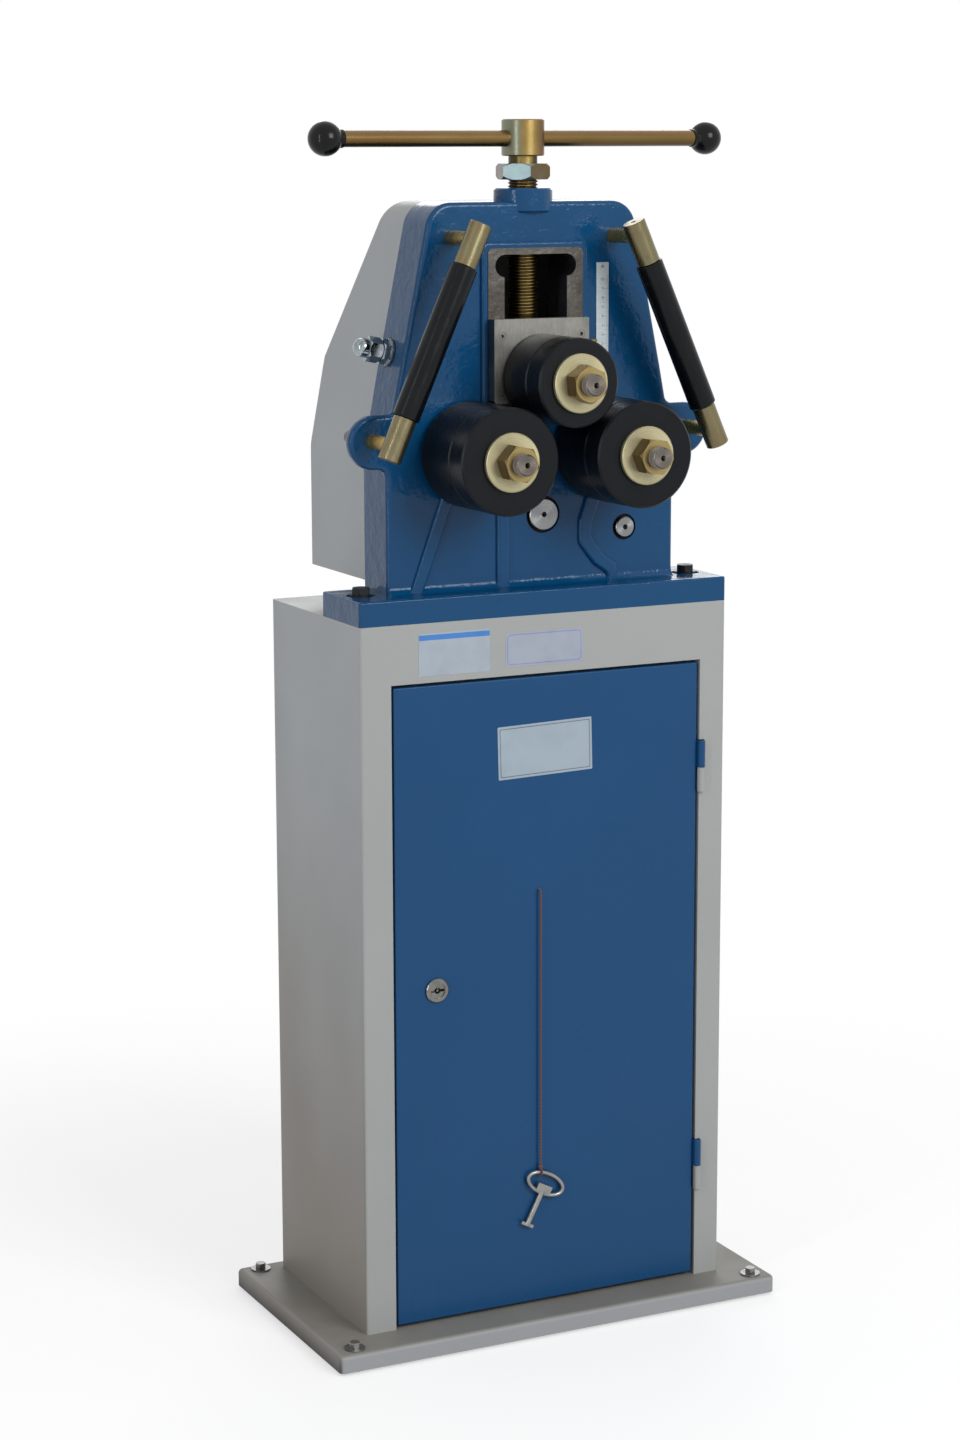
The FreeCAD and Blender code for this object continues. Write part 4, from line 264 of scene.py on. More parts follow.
def paint(name, rgb, low_rgb, gloss, peel, dust, lumps=0.0, specular=0.3, wear=0.10):
    """Sprayed paint: faint mottling, orange peel, settled dust and a few small marks."""
    s = Surface(name, Specular_IOR_Level=specular)
    mottle = s.patches(5.0, 4.0, 0.35, 0.7)
    speckle = s.patches(900.0, 1.0, 0.3, 0.75)
    marks = s.patches(38.0, 6.0, 0.70, 0.74, rough=0.72)
    base = s.tinted(rgb, mottle, 0.5, low_rgb)
    base = s.tinted(base, speckle, 0.10, shade(rgb, 0.8))
    s.colour(s.tinted(base, marks, dust, SETTLED_DUST))
    s.roughness(s.patches(9.0, 3.0, 0.3, 0.75, gloss - 0.4 * wear, gloss + wear, stretch=(1.0, 1.0, 0.6)))
    if lumps:
        s.bump(s.noise(55.0, 3.0), lumps)
        s.bump(s.noise(240.0, 2.0), lumps * 0.3)
    s.bump(s.noise(520.0, 2.0), peel)
    return s


def cast_paint():
    """The casting's paint over its sand-cast skin, its bare ground way and its pocket, painted dark grey as
    painted shade.
    """
    s = paint("cast_blue", (10, 75, 121), (7, 67, 111), gloss=0.12, peel=0.00004, dust=0.22, lumps=0.0009,
              specular=0.26, wear=0.05)
    painted, gloss = s.source("Base Color"), s.source("Roughness")
    way = s.both(s.math("LESS_THAN", s.y, WAY_FRONT), s.within(s.x, *WAY_X), s.within(s.z, *WAY_Z))
    grain = s.patches(260.0, 4.0, 0.2, 0.8, stretch=(1.0, 1.0, 0.06))
    oil = s.patches(24.0, 5.0, 0.45, 0.66)
    steel = s.tinted(s.mix(grain, (90, 88, 84), (78, 75, 71)), oil, 0.5, WAY_OIL)
    # The pocket gets a dark grey colour as painted shade for the recess.
    pocket = s.both(s.within(s.x, *POCKET_X), s.within(s.z, *POCKET_Z), s.within(s.y, *POCKET_Y))
    cloud = s.patches(60.0, 4.0, 0.3, 0.7)
    dark = s.mix(cloud, (60, 62, 65), (46, 47, 51))
    s.colour(s.mix(way, s.mix(pocket, painted, dark), steel))
    s.metallic(s.math("MAXIMUM", way, s.math("MULTIPLY", pocket, 0.5)))
    s.roughness(s.ramp(way, 0.0, 1.0, gloss, 0.36))
    return s.material


def cabinet_paint():
    """The cabinet's grey paint; its left side has painted light, cooler and lighter at the top and darker
    towards the floor as painted shade.
    """
    s = paint("cabinet_grey", (172, 175, 173), (164, 167, 165), gloss=0.42, peel=0.00005, dust=0.2)
    painted = s.source("Base Color")
    # Painted light on the side that faces left: lighter and cooler high up, painted shade lower down.
    cloud = s.patches(3.0, 5.0, 0.3, 0.7, -0.12, 0.12)
    height = s.ramp(s.math("ADD", s.z, cloud), 0.05, 0.75)
    side = s.mix(height, (143, 136, 129), (178, 182, 185))
    s.colour(s.mix(s.facing(LEFT, 0.6, 0.95), painted, side))
    return s.material


def tray_paint():
    """The base tray's grey paint: what faces up is darker, with dust and painted shade, and its left side has
    painted shade that deepens towards the floor.
    """
    s = paint("tray_paint", (168, 170, 173), (160, 161, 164), gloss=0.48, peel=0.00005, dust=0.2)
    painted = s.source("Base Color")
    # What faces up is darkened by dust and by painted shade.
    cloud = s.patches(9.0, 6.0, 0.35, 0.68, rough=0.62)
    dust = s.mix(cloud, (137, 134, 126), (124, 120, 112))
    dusty_and_shaded = s.mix(s.math("MULTIPLY", s.facing(UP, 0.3, 0.9), 0.9), painted, dust)
    # Painted shade on the side that faces left, deepening towards the floor.
    height = s.ramp(s.z, 0.004, 0.020)
    side = s.mix(height, (66, 62, 59), (136, 131, 125))
    s.colour(s.mix(s.facing(LEFT, 0.5, 0.9), dusty_and_shaded, side))
    return s.material


def zinc(name, rgb, tints, roughness, metallic=0.85, scale=55.0, grain=0.10, painted_shade_behind=None):
    """Zinc or chrome plate whose film shifts between tints. The last argument, if given, holds a place along
    Y and a darker colour laid from there on towards the back, as painted shade."""
    s = Surface(name, Metallic=metallic)
    base = rgb
    for number, tint in enumerate(tints):
        cloud = s.patches(scale * (1.0 + 0.7 * number), 3.0, 0.45, 0.68, stretch=(1.0 + number, 1.0, 1.3))
        base = s.tinted(base, cloud, 0.6, tint)
    dull = s.patches(170.0, 4.0, 0.6, 0.72)
    base = s.tinted(base, dull, 0.3, shade(rgb, 0.6))
    if painted_shade_behind:
        base = s.mix(s.math("GREATER_THAN", s.y, painted_shade_behind[0]), base, painted_shade_behind[1])
    s.colour(base)
    s.roughness(s.patches(160.0, 3.0, 0.35, 0.7, roughness - 0.5 * grain, roughness + grain,
                          stretch=(1.0, 1.0, 0.3)))
    s.bump(s.noise(420.0, 2.0), PLATE_BUMP)
    return s.material


def plated_bar():
    """Yellow zinc bar: gold, with a pinkish painted highlight along its top and painted shade underneath."""
    s = Surface("bar_zinc_plate", Metallic=0.9)
    cloud = s.patches(7.0, 3.0, 0.35, 0.65, stretch=(1.0, 3.0, 3.0))
    gold = s.mix(cloud, (126, 104, 62), (114, 90, 52))
    # Painted highlight: a pinkish sheen on what faces up.
    base = s.tinted(gold, s.facing(UP, 0.3, 0.95), 0.7, (142, 116, 90))
    # Painted shade on what faces down.
    s.colour(s.tinted(base, s.facing(DOWN, 0.1, 0.8), 0.85, BAR_UNDERSIDE_SHADE))
    s.roughness(s.patches(60.0, 3.0, 0.3, 0.7, 0.26, 0.34, stretch=(0.2, 1.0, 1.0)))
    s.bump(s.noise(300.0, 2.0), PLATE_BUMP)
    return s.material


def plated_thread():
    """Yellow zinc thread: rubbed crests over roots dark with oil and painted shade, and painted shade on the
    flanks that face left and right.
    """
    s = Surface("thread_zinc_plate", Metallic=0.9)
    radius = s.distance(s.x, s.math("SUBTRACT", s.y, SCREW_Y))
    cloud = s.patches(60.0, 3.0, 0.35, 0.65)
    gold = s.mix(cloud, (182, 160, 94), (154, 128, 74))
    # Roots darkened by oil and by painted shade in the grooves.
    base = s.mix(s.ramp(radius, THREAD_ROOT, THREAD_CREST), THREAD_ROOT_OIL_AND_SHADE, gold)
    # Painted shade on the flanks that face left and right.
    across = s.math("DIVIDE", s.x, radius)
    shaded_sides = s.math("MAXIMUM", s.ramp(across, 0.12, 0.45), s.ramp(across, -0.48, -0.8))
    s.colour(s.tinted(base, shaded_sides, 0.85, THREAD_SIDE_SHADE))
    s.roughness(s.patches(90.0, 3.0, 0.3, 0.7, 0.26, 0.4))
    s.bump(s.noise(300.0, 2.0), PLATE_BUMP)
    return s.material


def plated_hub():
    """Turned hub in yellow zinc: gold, with painted reflections, grey-green on what faces left and brown on
    what faces right.
    """
    s = Surface("hub_zinc_plate", Metallic=0.9)
    edge = s.patches(60.0, 3.0, 0.3, 0.7, -0.1, 0.1, stretch=(1.0, 1.0, 0.1))
    cloud = s.patches(40.0, 3.0, 0.35, 0.65)
    base = s.mix(cloud, (156, 134, 82), (140, 118, 70))
    # Painted reflections: grey-green on what faces left, brown on what faces right.
    for way, start, end, rgb in ((LEFT, 0.45, 0.62, (120, 122, 104)), (RIGHT, 0.15, 0.55, (112, 84, 54))):
        side = s.math("ADD", s.facing(way, start, end), edge)
        base = s.mix(s.ramp(side, 0.0, 1.0), base, rgb)
    s.colour(base)
    s.roughness(s.patches(90.0, 3.0, 0.3, 0.7, 0.27, 0.33, stretch=(1.0, 1.0, 0.04)))
    s.bump(s.noise(300.0, 2.0, stretch=(0.02, 0.02, 1.0)), PLATE_BUMP / 2.0)
    return s.material


def two_tone_nut(name, main, right, left, cloudy, right_turn, left_turn):
    """Zinc-plated nut whose flats that face right and left get their own colours as painted reflection and
    shade.
    """
    s = Surface(name, Metallic=0.85)
    base = s.mix(s.facing(RIGHT, *right_turn), main, right)
    base = s.mix(s.facing(LEFT, *left_turn), base, left)
    cloud = s.patches(60.0, 4.0, 0.45, 0.75)
    s.colour(s.tinted(base, cloud, 0.25, cloudy))
    s.roughness(s.patches(90.0, 3.0, 0.3, 0.7, 0.30, 0.4))
    s.bump(s.noise(300.0, 2.0), GROUND_BUMP)
    return s.material


def turned_metal(name, axis, rgb, low_rgb, metallic, roughness, film=0.2, streak=0.0, specular=0.5):
    """Metal turned in a lathe about an axis along Y: fine grooves, an oil film and rubbed spots."""
    s = Surface(name, Metallic=metallic, Anisotropic=streak, Specular_IOR_Level=specular)
    if streak:
        tangent = s.new("ShaderNodeTangent", direction_type="RADIAL", axis="Y")
        s.feed(s.shader.inputs["Tangent"], tangent.outputs[0])
    vector = s.about(*axis)
    lines = s.noise(1500.0, 2.0, at=vector)
    rubbed = s.patches(190.0, 3.0, 0.35, 0.7, at=vector)
    oil = s.patches(32.0, 5.0, 0.48, 0.68)
    base = s.mix(s.ramp(lines, 0.35, 0.65), rgb, low_rgb)
    base = s.tinted(base, rubbed, 0.5, low_rgb)
    s.colour(s.tinted(base, oil, film, shade(low_rgb, 0.55)))
    s.roughness(s.ramp(lines, 0.3, 0.7, roughness - 0.08, roughness + 0.12))
    s.bump(lines, LATHE_BUMP)
    return s.material


def ground_metal(name, rgb, low_rgb, roughness=0.30, oil=0.4, grain=0.05):
    """Ground or drawn metal: straight grain along Z, oil film and small dark pits."""
    s = Surface(name, Metallic=1.0)
    lines = s.noise(620.0, 3.0, stretch=(1.0, 1.0, grain))
    film = s.patches(26.0, 5.0, 0.45, 0.7)
    pits = s.patches(330.0, 3.0, 0.70, 0.76)
    base = s.mix(s.ramp(lines, 0.3, 0.7), rgb, low_rgb)
    base = s.tinted(base, film, oil, shade(low_rgb, 0.62))
    s.colour(s.tinted(base, pits, 0.5, PITS))
    s.roughness(s.ramp(film, 0.0, 1.0, roughness + 0.06, roughness - 0.06))
    s.bump(lines, GROUND_BUMP)
    return s.material


def blackened():
    """Blackened steel with rubbed patches and a little rust in the pores."""
    s = Surface("black_oxide_steel", Metallic=0.6)
    rub = s.patches(70.0, 5.0, 0.52, 0.7, rough=0.6)
    rust = s.patches(240.0, 4.0, 0.66, 0.74)
    base = s.tinted((32, 34, 38), rub, 0.5, (58, 60, 62))
    s.colour(s.tinted(base, rust, 0.35, RUST))
    s.roughness(s.ramp(rub, 0.0, 1.0, 0.50, 0.34))
    s.bump(s.noise(420.0, 3.0), PORE_BUMP)
    return s.material


def cast_iron():
    """Bare machined and cast iron of the slide, grey with dark pores."""
    s = Surface("cast_iron_skin", Metallic=0.55)
    cloud = s.patches(60.0, 4.0, 0.3, 0.7)
    s.colour(s.mix(cloud, (74, 74, 73), (48, 48, 50)))
    s.roughness(s.patches(130.0, 3.0, 0.3, 0.7, 0.42, 0.6))
    s.bump(s.noise(260.0, 4.0), CAST_BUMP)
    return s.material


def moulded(name, rgb, low_rgb, roughness, dust, texture, specular=0.5):
    """Moulded plastic or rubber with handling marks and a little dust."""
    s = Surface(name, Specular_IOR_Level=specular)
    cloud = s.patches(30.0, 4.0, 0.35, 0.7)
    marks = s.patches(110.0, 6.0, 0.6, 0.72, rough=0.7)
    s.colour(s.tinted(s.mix(cloud, rgb, low_rgb), marks, dust, HANDLING_DUST))
    s.roughness(s.patches(60.0, 4.0, 0.35, 0.7, roughness, roughness + 0.16))
    s.bump(s.noise(480.0, 2.0), texture)
    return s.material


def twine():
    """Two-ply reddish twine: its plies wind round it, and stray fibres roughen it."""
    s = Surface("twine_fibre", Sheen_Weight=0.3, Specular_IOR_Level=0.2)
    fibres = s.noise(1500.0, 1.0, stretch=(1.0, 1.0, 0.5))
    strand = s.new("ShaderNodeTexWave", wave_type="BANDS", bands_direction="DIAGONAL")
    s.feed(strand.inputs["Vector"], s.place)
    strand.inputs["Scale"].default_value = 170.0
    strand.inputs["Distortion"].default_value = 1.5
    plies = strand.outputs["Fac"]
    base = s.mix(plies, (98, 66, 62), (126, 88, 78))
    s.colour(s.tinted(base, s.ramp(fibres, 0.4, 0.7), 0.4, TWINE_SHADOW))
    s.roughness(s.ramp(fibres, 0.3, 0.7, 0.75, 0.95))
    s.bump(plies, PLY_BUMP)
    return s.material


def rule_face():
    """Satin steel of the rule, brushed along its length, with a few stains."""
    s = Surface("rule_steel", Metallic=0.25, Specular_IOR_Level=0.6)
    grain = s.noise(700.0, 3.0, stretch=(0.08, 1.0, 1.0))
    stain = s.patches(45.0, 5.0, 0.55, 0.7)
    base = s.mix(s.ramp(grain, 0.3, 0.7), (196, 205, 209), (178, 189, 195))
    s.colour(s.tinted(base, stain, 0.3, STAIN))
    s.roughness(s.ramp(grain, 0.3, 0.7, 0.34, 0.5))
    s.bump(grain, LATHE_BUMP)
    return s.material


def printed(name, rgb, low_rgb, roughness):
    """Printed film or ink, faintly mottled and rubbed."""
    s = Surface(name)
    cloud = s.patches(45.0, 4.0, 0.4, 0.7)
    s.colour(s.mix(cloud, rgb, low_rgb))
    s.roughness(s.patches(120.0, 3.0, 0.3, 0.7, roughness, roughness + 0.15))
    s.bump(s.noise(300.0, 2.0), PRINT_BUMP)
    return s.material


SURFACES = {
    "grey_paint": cabinet_paint(),
    "blue_paint": paint("door_blue", (23, 76, 123), (19, 71, 116), gloss=0.28, peel=0.00003, dust=0.02,
                        specular=0.25, wear=0.04).material,
    "cast_blue": cast_paint(),
    "tray": tray_paint(),
    "yellow_zinc": zinc("yellow_zinc_plate", (122, 106, 62), ((116, 90, 54), (108, 106, 68), (126, 98, 72)),
                        roughness=0.3, scale=28.0),
    "bright_zinc": zinc("bright_zinc_plate", (160, 170, 174), ((146, 160, 166), (152, 148, 130)),
                        roughness=0.30),
    "bolt_zinc": zinc("base_bolt_zinc", (130, 131, 130), ((104, 102, 99), (148, 148, 144)), roughness=0.22),
    "key_zinc": zinc("key_zinc_plate", (150, 150, 148), ((132, 130, 127), (162, 160, 153)), roughness=0.3),
    "block_zinc": zinc("block_zinc_plate", (124, 117, 88), ((114, 101, 70), (118, 119, 98), (130, 109, 80)),
                       roughness=0.28, metallic=0.9, scale=26.0, grain=0.06),
    # The pins' length from Y -0.062 back towards the casting is painted dark grey as painted shade.
    "pin_zinc": zinc("pin_zinc_plate", (192, 164, 82), ((172, 132, 62), (166, 136, 92)),
                     roughness=0.28, scale=24.0, painted_shade_behind=(-0.062, (84, 88, 88))),
    # Roller nuts: painted shade on the flats that face left.
    "nut_zinc": two_tone_nut("roller_nut_zinc", (150, 132, 86), right=(142, 126, 84), left=(88, 70, 40),
                             cloudy=(132, 104, 70), right_turn=(0.3, 0.6), left_turn=(0.15, 0.6)),
    "bar_zinc": plated_bar(),
    "hub_zinc": plated_hub(),
    "screw_zinc": plated_thread(),
    # Lock nut: a teal painted reflection on most flats, a brown one on the flats that face right.
    "lock_nut": two_tone_nut("lock_nut_zinc", (138, 157, 159), right=(104, 88, 62), left=(132, 122, 118),
                             cloudy=(120, 124, 112), right_turn=(-0.2, 0.1), left_turn=(0.8, 0.95)),
    "gib_chrome": zinc("gib_nut_chrome", (150, 160, 166), ((96, 100, 104), (182, 192, 198)),
                       roughness=0.10, metallic=1.0, scale=90.0, grain=0.04),
    "black_oxide": blackened(),
    "ground_steel": ground_metal("ground_steel_bar", (150, 150, 148), (118, 116, 112)),
    "gear_steel": ground_metal("gear_steel_cut", (150, 148, 142), (116, 113, 106), roughness=0.36),
    "slide_plate": ground_metal("slide_plate_steel", (132, 131, 127), (120, 119, 114), roughness=0.36,
                                oil=0.45, grain=0.2),
    "cast_iron": cast_iron(),
    # Oily bronze darkened nearly to black: painted shade for the gap round the shaft ends.
    "bronze": ground_metal("shaded_bronze_bush", (40, 36, 32), (26, 24, 23), roughness=0.45),
    "rubber": moulded("foot_rubber", (34, 34, 35), (24, 24, 25), roughness=0.72, dust=0.35, texture=0.00008),
    "black_plastic": moulded("ball_plastic", (12, 13, 15), (8, 9, 10), roughness=0.12, dust=0.03,
                             texture=0.000003, specular=0.22),
    "grip_vinyl": moulded("grip_vinyl", (15, 18, 22), (10, 12, 15), roughness=0.16, dust=0.03,
                          texture=0.000004, specular=0.18),
    "chrome": zinc("lock_chrome", (124, 124, 120), ((108, 108, 104), (140, 136, 132)), roughness=0.20,
                   metallic=1.0),
    "rule_face": rule_face(),
    "cord": twine(),
}
for side, axis in ROLLER_AXES.items():
    SURFACES[side + "_roller"] = turned_metal(
        side + "_roller_steel", axis, (26, 28, 32), (19, 21, 25), metallic=0.2, roughness=0.30, specular=0.16)
    SURFACES[side + "_washer"] = turned_metal(
        side + "_washer_zinc", axis, (192, 186, 152), (174, 165, 128), metallic=0.5, roughness=0.36,
        streak=0.5)
    SURFACES[side + "_shaft"] = turned_metal(
        side + "_shaft_steel", axis, (122, 117, 111), (104, 98, 91), metallic=1.0, roughness=0.28, streak=0.6)
for name, axis in GEAR_SHAFT_AXES.items():
    SURFACES[name + "_shaft"] = turned_metal(
        name + "_shaft_steel", axis, (150, 152, 154), (128, 129, 130), metallic=1.0, roughness=0.28,
        film=0.15, streak=0.8)

# Nodes whose surface isn't their slot's plain one.
NODE_SURFACES = {
    "head_casting": "cast_blue", "base_plate": "tray", "handle_grips": "grip_vinyl",
    "slide_front_plate": "slide_plate", "slide_screws": "slide_plate",
    "handle_end_blocks": "block_zinc", "handle_pins": "pin_zinc", "base_bolts": "bolt_zinc",
    "tee_bar": "bar_zinc", "tee_hub": "hub_zinc", "key": "key_zinc",
    "screw_lock_nut": "lock_nut", "gib_nuts": "gib_chrome", "hinge_lower_halves": "grey_paint",
    "idler_shaft": "idler_shaft", "drive_shaft": "drive_shaft",
}
for side in ROLLER_AXES:
    NODE_SURFACES[side + "_roller"] = side + "_roller"
    NODE_SURFACES[side + "_roller_ring"] = side + "_roller"
    NODE_SURFACES[side + "_washer"] = side + "_washer"
    NODE_SURFACES[side + "_nut_and_key"] = "nut_zinc"


def dress_frame():
    """Gives every carried-over node the surface of its slot, or one of its own."""
    slots = {part["node"]: part["material_slot"] for part in frame["record"]["subparts"]}
    for name, node in nodes.items():
        surface = SURFACES[NODE_SURFACES.get(name, slots[name])]
        node.data.materials.clear()
        node.data.materials.append(surface)


dress_frame()

# ---------------------------------------------------------------- cord


def add_cord():
    """Twine from a hole in the door, hanging down to the knot on its key."""
    points = ((-0.0104, -0.1015, 0.5078), (-0.0104, -0.1078, 0.5078),
              (-0.0104, -0.1078, 0.5015), (-0.0104, -0.1078, 0.1886))
    data = bpy.data.curves.new("door_twine", "CURVE")
    data.dimensions = "3D"
    data.bevel_depth = 0.0011
    data.bevel_resolution = 4
    data.resolution_u = 24
    data.use_fill_caps = True
    spline = data.splines.new("NURBS")
    spline.points.add(len(points) - 1)
    for target, point in zip(spline.points, points):
        target.co = (*point, 1.0)
    spline.order_u = 3
    spline.use_endpoint_u = True
    data.materials.append(SURFACES["cord"])
    piece = bpy.data.objects.new("door_twine", data)
    bpy.context.scene.collection.objects.link(piece)
    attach(piece, "door")
    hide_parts("key_cord")


add_cord()

# ---------------------------------------------------------------- mesh helpers
# Lengths from here to the floor are in millimetres, apart from those with a note.

MERGE_WITHIN = 2e-6                  # metres
FLAT_WITHIN = 1e-6                   # metres
ALONG_Y = Matrix(((1, 0, 0, 0), (0, 0, 1, 0), (0, -1, 0, 0), (0, 0, 0, 1)))


def finished(name, bm, surface, body, sharp=32.0, replaced=()):
    """Cleans a bmesh, makes its object with edges sharp from this angle on, and sets it on a body."""
    bmesh.ops.remove_doubles(bm, verts=bm.verts, dist=MERGE_WITHIN)
    bmesh.ops.dissolve_degenerate(bm, dist=FLAT_WITHIN, edges=bm.edges)
    bmesh.ops.recalc_face_normals(bm, faces=bm.faces)
    limit = math.radians(sharp)
    for face in bm.faces:
        face.smooth = True
    for edge in bm.edges:
        edge.smooth = len(edge.link_faces) == 2 and edge.calc_face_angle(0.0) < limit
    mesh = bpy.data.meshes.new(name)
    bm.to_mesh(mesh)
    bm.free()
    mesh.materials.append(surface)
    piece = bpy.data.objects.new(name, mesh)
    bpy.context.scene.collection.objects.link(piece)
    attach(piece, body)
    if replaced:
        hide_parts(*replaced)


def plain_rings(outline):
    """Rings of a plain turned form, from its places along the axis and its radii there."""
    return [lambda turn, ring=ring: ring for ring in outline]


# Places along a thread's pitch, and how far each has risen towards the crest, as shares.
THREAD_OUTLINE = ((0.0, 0.0), (0.25, 0.0), (0.5625, 1.0), (0.6875, 1.0))
THREAD_RUN_OUT = 0.6                 # pitches


def thread_rings(start, end, pitch, crest, depth):
    """Rings that climb by one pitch a turn and follow a thread's flanks, run out at both ends."""
    rings = []
    for number in range(-1, int((end - start) / pitch) + 1):
        for share, rise in THREAD_OUTLINE:
            def ring(turn, number=number, share=share, rise=rise):
                place = start + (number + share + turn) * pitch
                place = min(max(place, start), end)
                run_out = THREAD_RUN_OUT * pitch
                fade = min(1.0, (place - start) / run_out, (end - place) / run_out)
                return place, crest - depth + depth * rise * fade
            rings.append(ring)
    return rings


def turned(rings, steps, transform):
    """A lathed mesh: each ring gives its place along the axis and its radius at each turn."""
    bm = bmesh.new()
    rows = []
    for ring in rings:
        row = []
        for step in range(steps + 1):
            place, radius = ring(step / steps)
            angle = 2.0 * math.pi * step / steps
            point = Vector((radius * math.cos(angle), radius * math.sin(angle), place)) * MM
            row.append(bm.verts.new(transform @ point))
        rows.append(row)
    for low, high in zip(rows, rows[1:]):
        for step in range(steps):
            bm.faces.new((low[step], low[step + 1], high[step + 1], high[step]))
    return bm


def band(bm, low, high):
    """Faces between two closed rows of vertices."""
    for i in range(len(low)):
        following = (i + 1) % len(low)
        bm.faces.new((low[i], low[following], high[following], high[i]))


def slab(bm, points, front, back, edge=0.0):
    """A flat slab facing -Y between two places, with an optional bevel round its front."""
    rows = [[(px, back, pz) for px, pz in points]]
    if edge:
        cx = sum(p[0] for p in points) / len(points)
        cz = sum(p[1] for p in points) / len(points)
        rows.append([(px, front + edge, pz) for px, pz in points])
        inner = []
        for px, pz in points:
            away = math.hypot(px - cx, pz - cz)
            inner.append((px - (px - cx) / away * edge, front, pz - (pz - cz) / away * edge))
        rows.append(inner)
    else:
        rows.append([(px, front, pz) for px, pz in points])
    made = [[bm.verts.new(Vector(p) * MM) for p in row] for row in rows]
    for low, high in zip(made, made[1:]):
        band(bm, low, high)
    bm.faces.new(made[-1])
    bm.faces.new(list(reversed(made[0])))


def frame_slab(bm, outer, inner, front, back):
    """A flat band between two outlines that have the same number of points."""
    loops = [(outer, back), (outer, front), (inner, front), (inner, back)]
    made = [[bm.verts.new(Vector((px, y, pz)) * MM) for px, pz in pts] for pts, y in loops]
    for low, high in zip(made, made[1:] + made[:1]):
        band(bm, low, high)


# ---------------------------------------------------------------- threads

# Plain ends as (place along the axis, radius), and the thread between them.
SCREW_FOOT = ((1113.0, 0.0), (1113.0, 14.0), (1114.0, 15.0), (1122.0, 15.0), (1122.0, 11.0), (1130.2, 11.0),
              (1130.2, 17.7), (1131.0, 18.5), (1134.4, 18.5), (1135.2, 17.7), (1135.2, 15.0))
SCREW_THREAD = {"start": 1135.6, "end": 1300.0, "pitch": 3.5, "crest": 16.5, "depth": 1.9}
SCREW_HEAD = ((1300.0, 15.7), (1308.0, 15.7), (1308.0, 12.0), (1317.0, 12.0), (1317.0, 0.0))
SCREW_STEPS = 48
NOSE = ((-207.0, 0.0), (-207.0, 0.5), (-213.6, 2.8), (-214.0, 3.2), (-214.0, 10.2), (-212.8, 10.8))
NOSE_THREAD = {"start": -212.8, "end": -188.0, "pitch": 2.0, "crest": 11.9, "depth": 1.1}
NOSE_RADIUS, SHAFT_RADIUS, SHOULDER_RADIUS = 11.9, 15.0, 22.0
NOSE_RELIEF, NOSE_BACK = -187.0, -174.0
SHAFT_STEPS = 56
# Front and back of each shaft's shoulder, and the shaft's back end.
SHAFTS = {"left": (-75.0, -69.2, 22.0), "right": (-75.0, -69.2, 48.0), "upper": (-91.5, -89.85, -11.0)}


def add_feed_screw():
    """Feed screw with its cut thread."""
    rings = plain_rings(SCREW_FOOT) + thread_rings(**SCREW_THREAD) + plain_rings(SCREW_HEAD)
    bm = turned(rings, SCREW_STEPS, Matrix.Translation((0.0, SCREW_Y, 0.0)))
    finished("feed_screw_thread", bm, SURFACES["screw_zinc"], "feed_screw",
             replaced=("lead_screw",))


def add_shaft(side, front, back, end):
    """Roller shaft with a centre hole, a threaded nose and a shoulder between front and back."""
    x, z = ROLLER_AXES[side]
    body = ((NOSE_RELIEF, NOSE_RADIUS), (NOSE_BACK, NOSE_RADIUS), (NOSE_BACK, SHAFT_RADIUS),
            (front, SHAFT_RADIUS), (front, SHOULDER_RADIUS), (back, SHOULDER_RADIUS),
            (back, SHAFT_RADIUS), (end, SHAFT_RADIUS), (end, 0.0))
    rings = plain_rings(NOSE) + thread_rings(**NOSE_THREAD) + plain_rings(body)
    bm = turned(rings, SHAFT_STEPS, Matrix.Translation((x, 0.0, z)) @ ALONG_Y)
    finished(side + "_threaded_shaft", bm, SURFACES[side + "_shaft"], side + "_roller",
             replaced=(side + "_shaft",))


add_feed_screw()
for side, places in SHAFTS.items():
    add_shaft(side, *places)

# ---------------------------------------------------------------- washer

WASHER_SEAT = Vector((-154.13, -31.0, 1100.5))
WASHER_OUTWARD = Vector((-0.97934, 0.0, 0.20222))
WASHER_LIFT = 0.003                  # metres
WASHER_TEETH = 20
# Radius and height of the washer's rows. A row without a radius runs along the teeth.
WASHER_ROWS = ((9.0, 0.0), (9.0, 0.9), (12.6, 0.9), (None, 0.6), (None, 0.0))
TOOTH = ((15.0, 0.0), (15.6, 0.35), (13.4, 0.0), (13.2, 0.0))    # radius and twist at each step


def add_lock_washer():
    """Toothed washer under the gib screw's jam nut."""
    turn = Vector((0.0, 0.0, 1.0)).rotation_difference(WASHER_OUTWARD).to_matrix().to_4x4()
    place = Matrix.Translation(WASHER_SEAT * MM + WASHER_OUTWARD * WASHER_LIFT) @ turn
    count = WASHER_TEETH * len(TOOTH)
    bm = bmesh.new()
    rows = []
    for plain_radius, lift in WASHER_ROWS:
        row = []
        for step in range(count):
            radius, twist = (plain_radius, 0.0) if plain_radius else TOOTH[step % len(TOOTH)]
            angle = 2.0 * math.pi * step / count
            point = Vector((radius * math.cos(angle), radius * math.sin(angle), lift + twist)) * MM
            row.append(bm.verts.new(place @ point))
        rows.append(row)
    for low, high in zip(rows, rows[1:] + rows[:1]):
        band(bm, low, high)
    finished("gib_lock_washer", bm, SURFACES["bright_zinc"], "root", sharp=20.0)


# ---------------------------------------------------------------- labels

CABINET_FRONT, DOOR_FRONT = -104.0, -103.0
FILM_FRONT, FILM_BACK, FILM_EDGE = 0.35, 0.05, 0.12
PRINT_FRONT, PRINT_BACK = 0.42, 0.30
CORNER_STEPS = 6


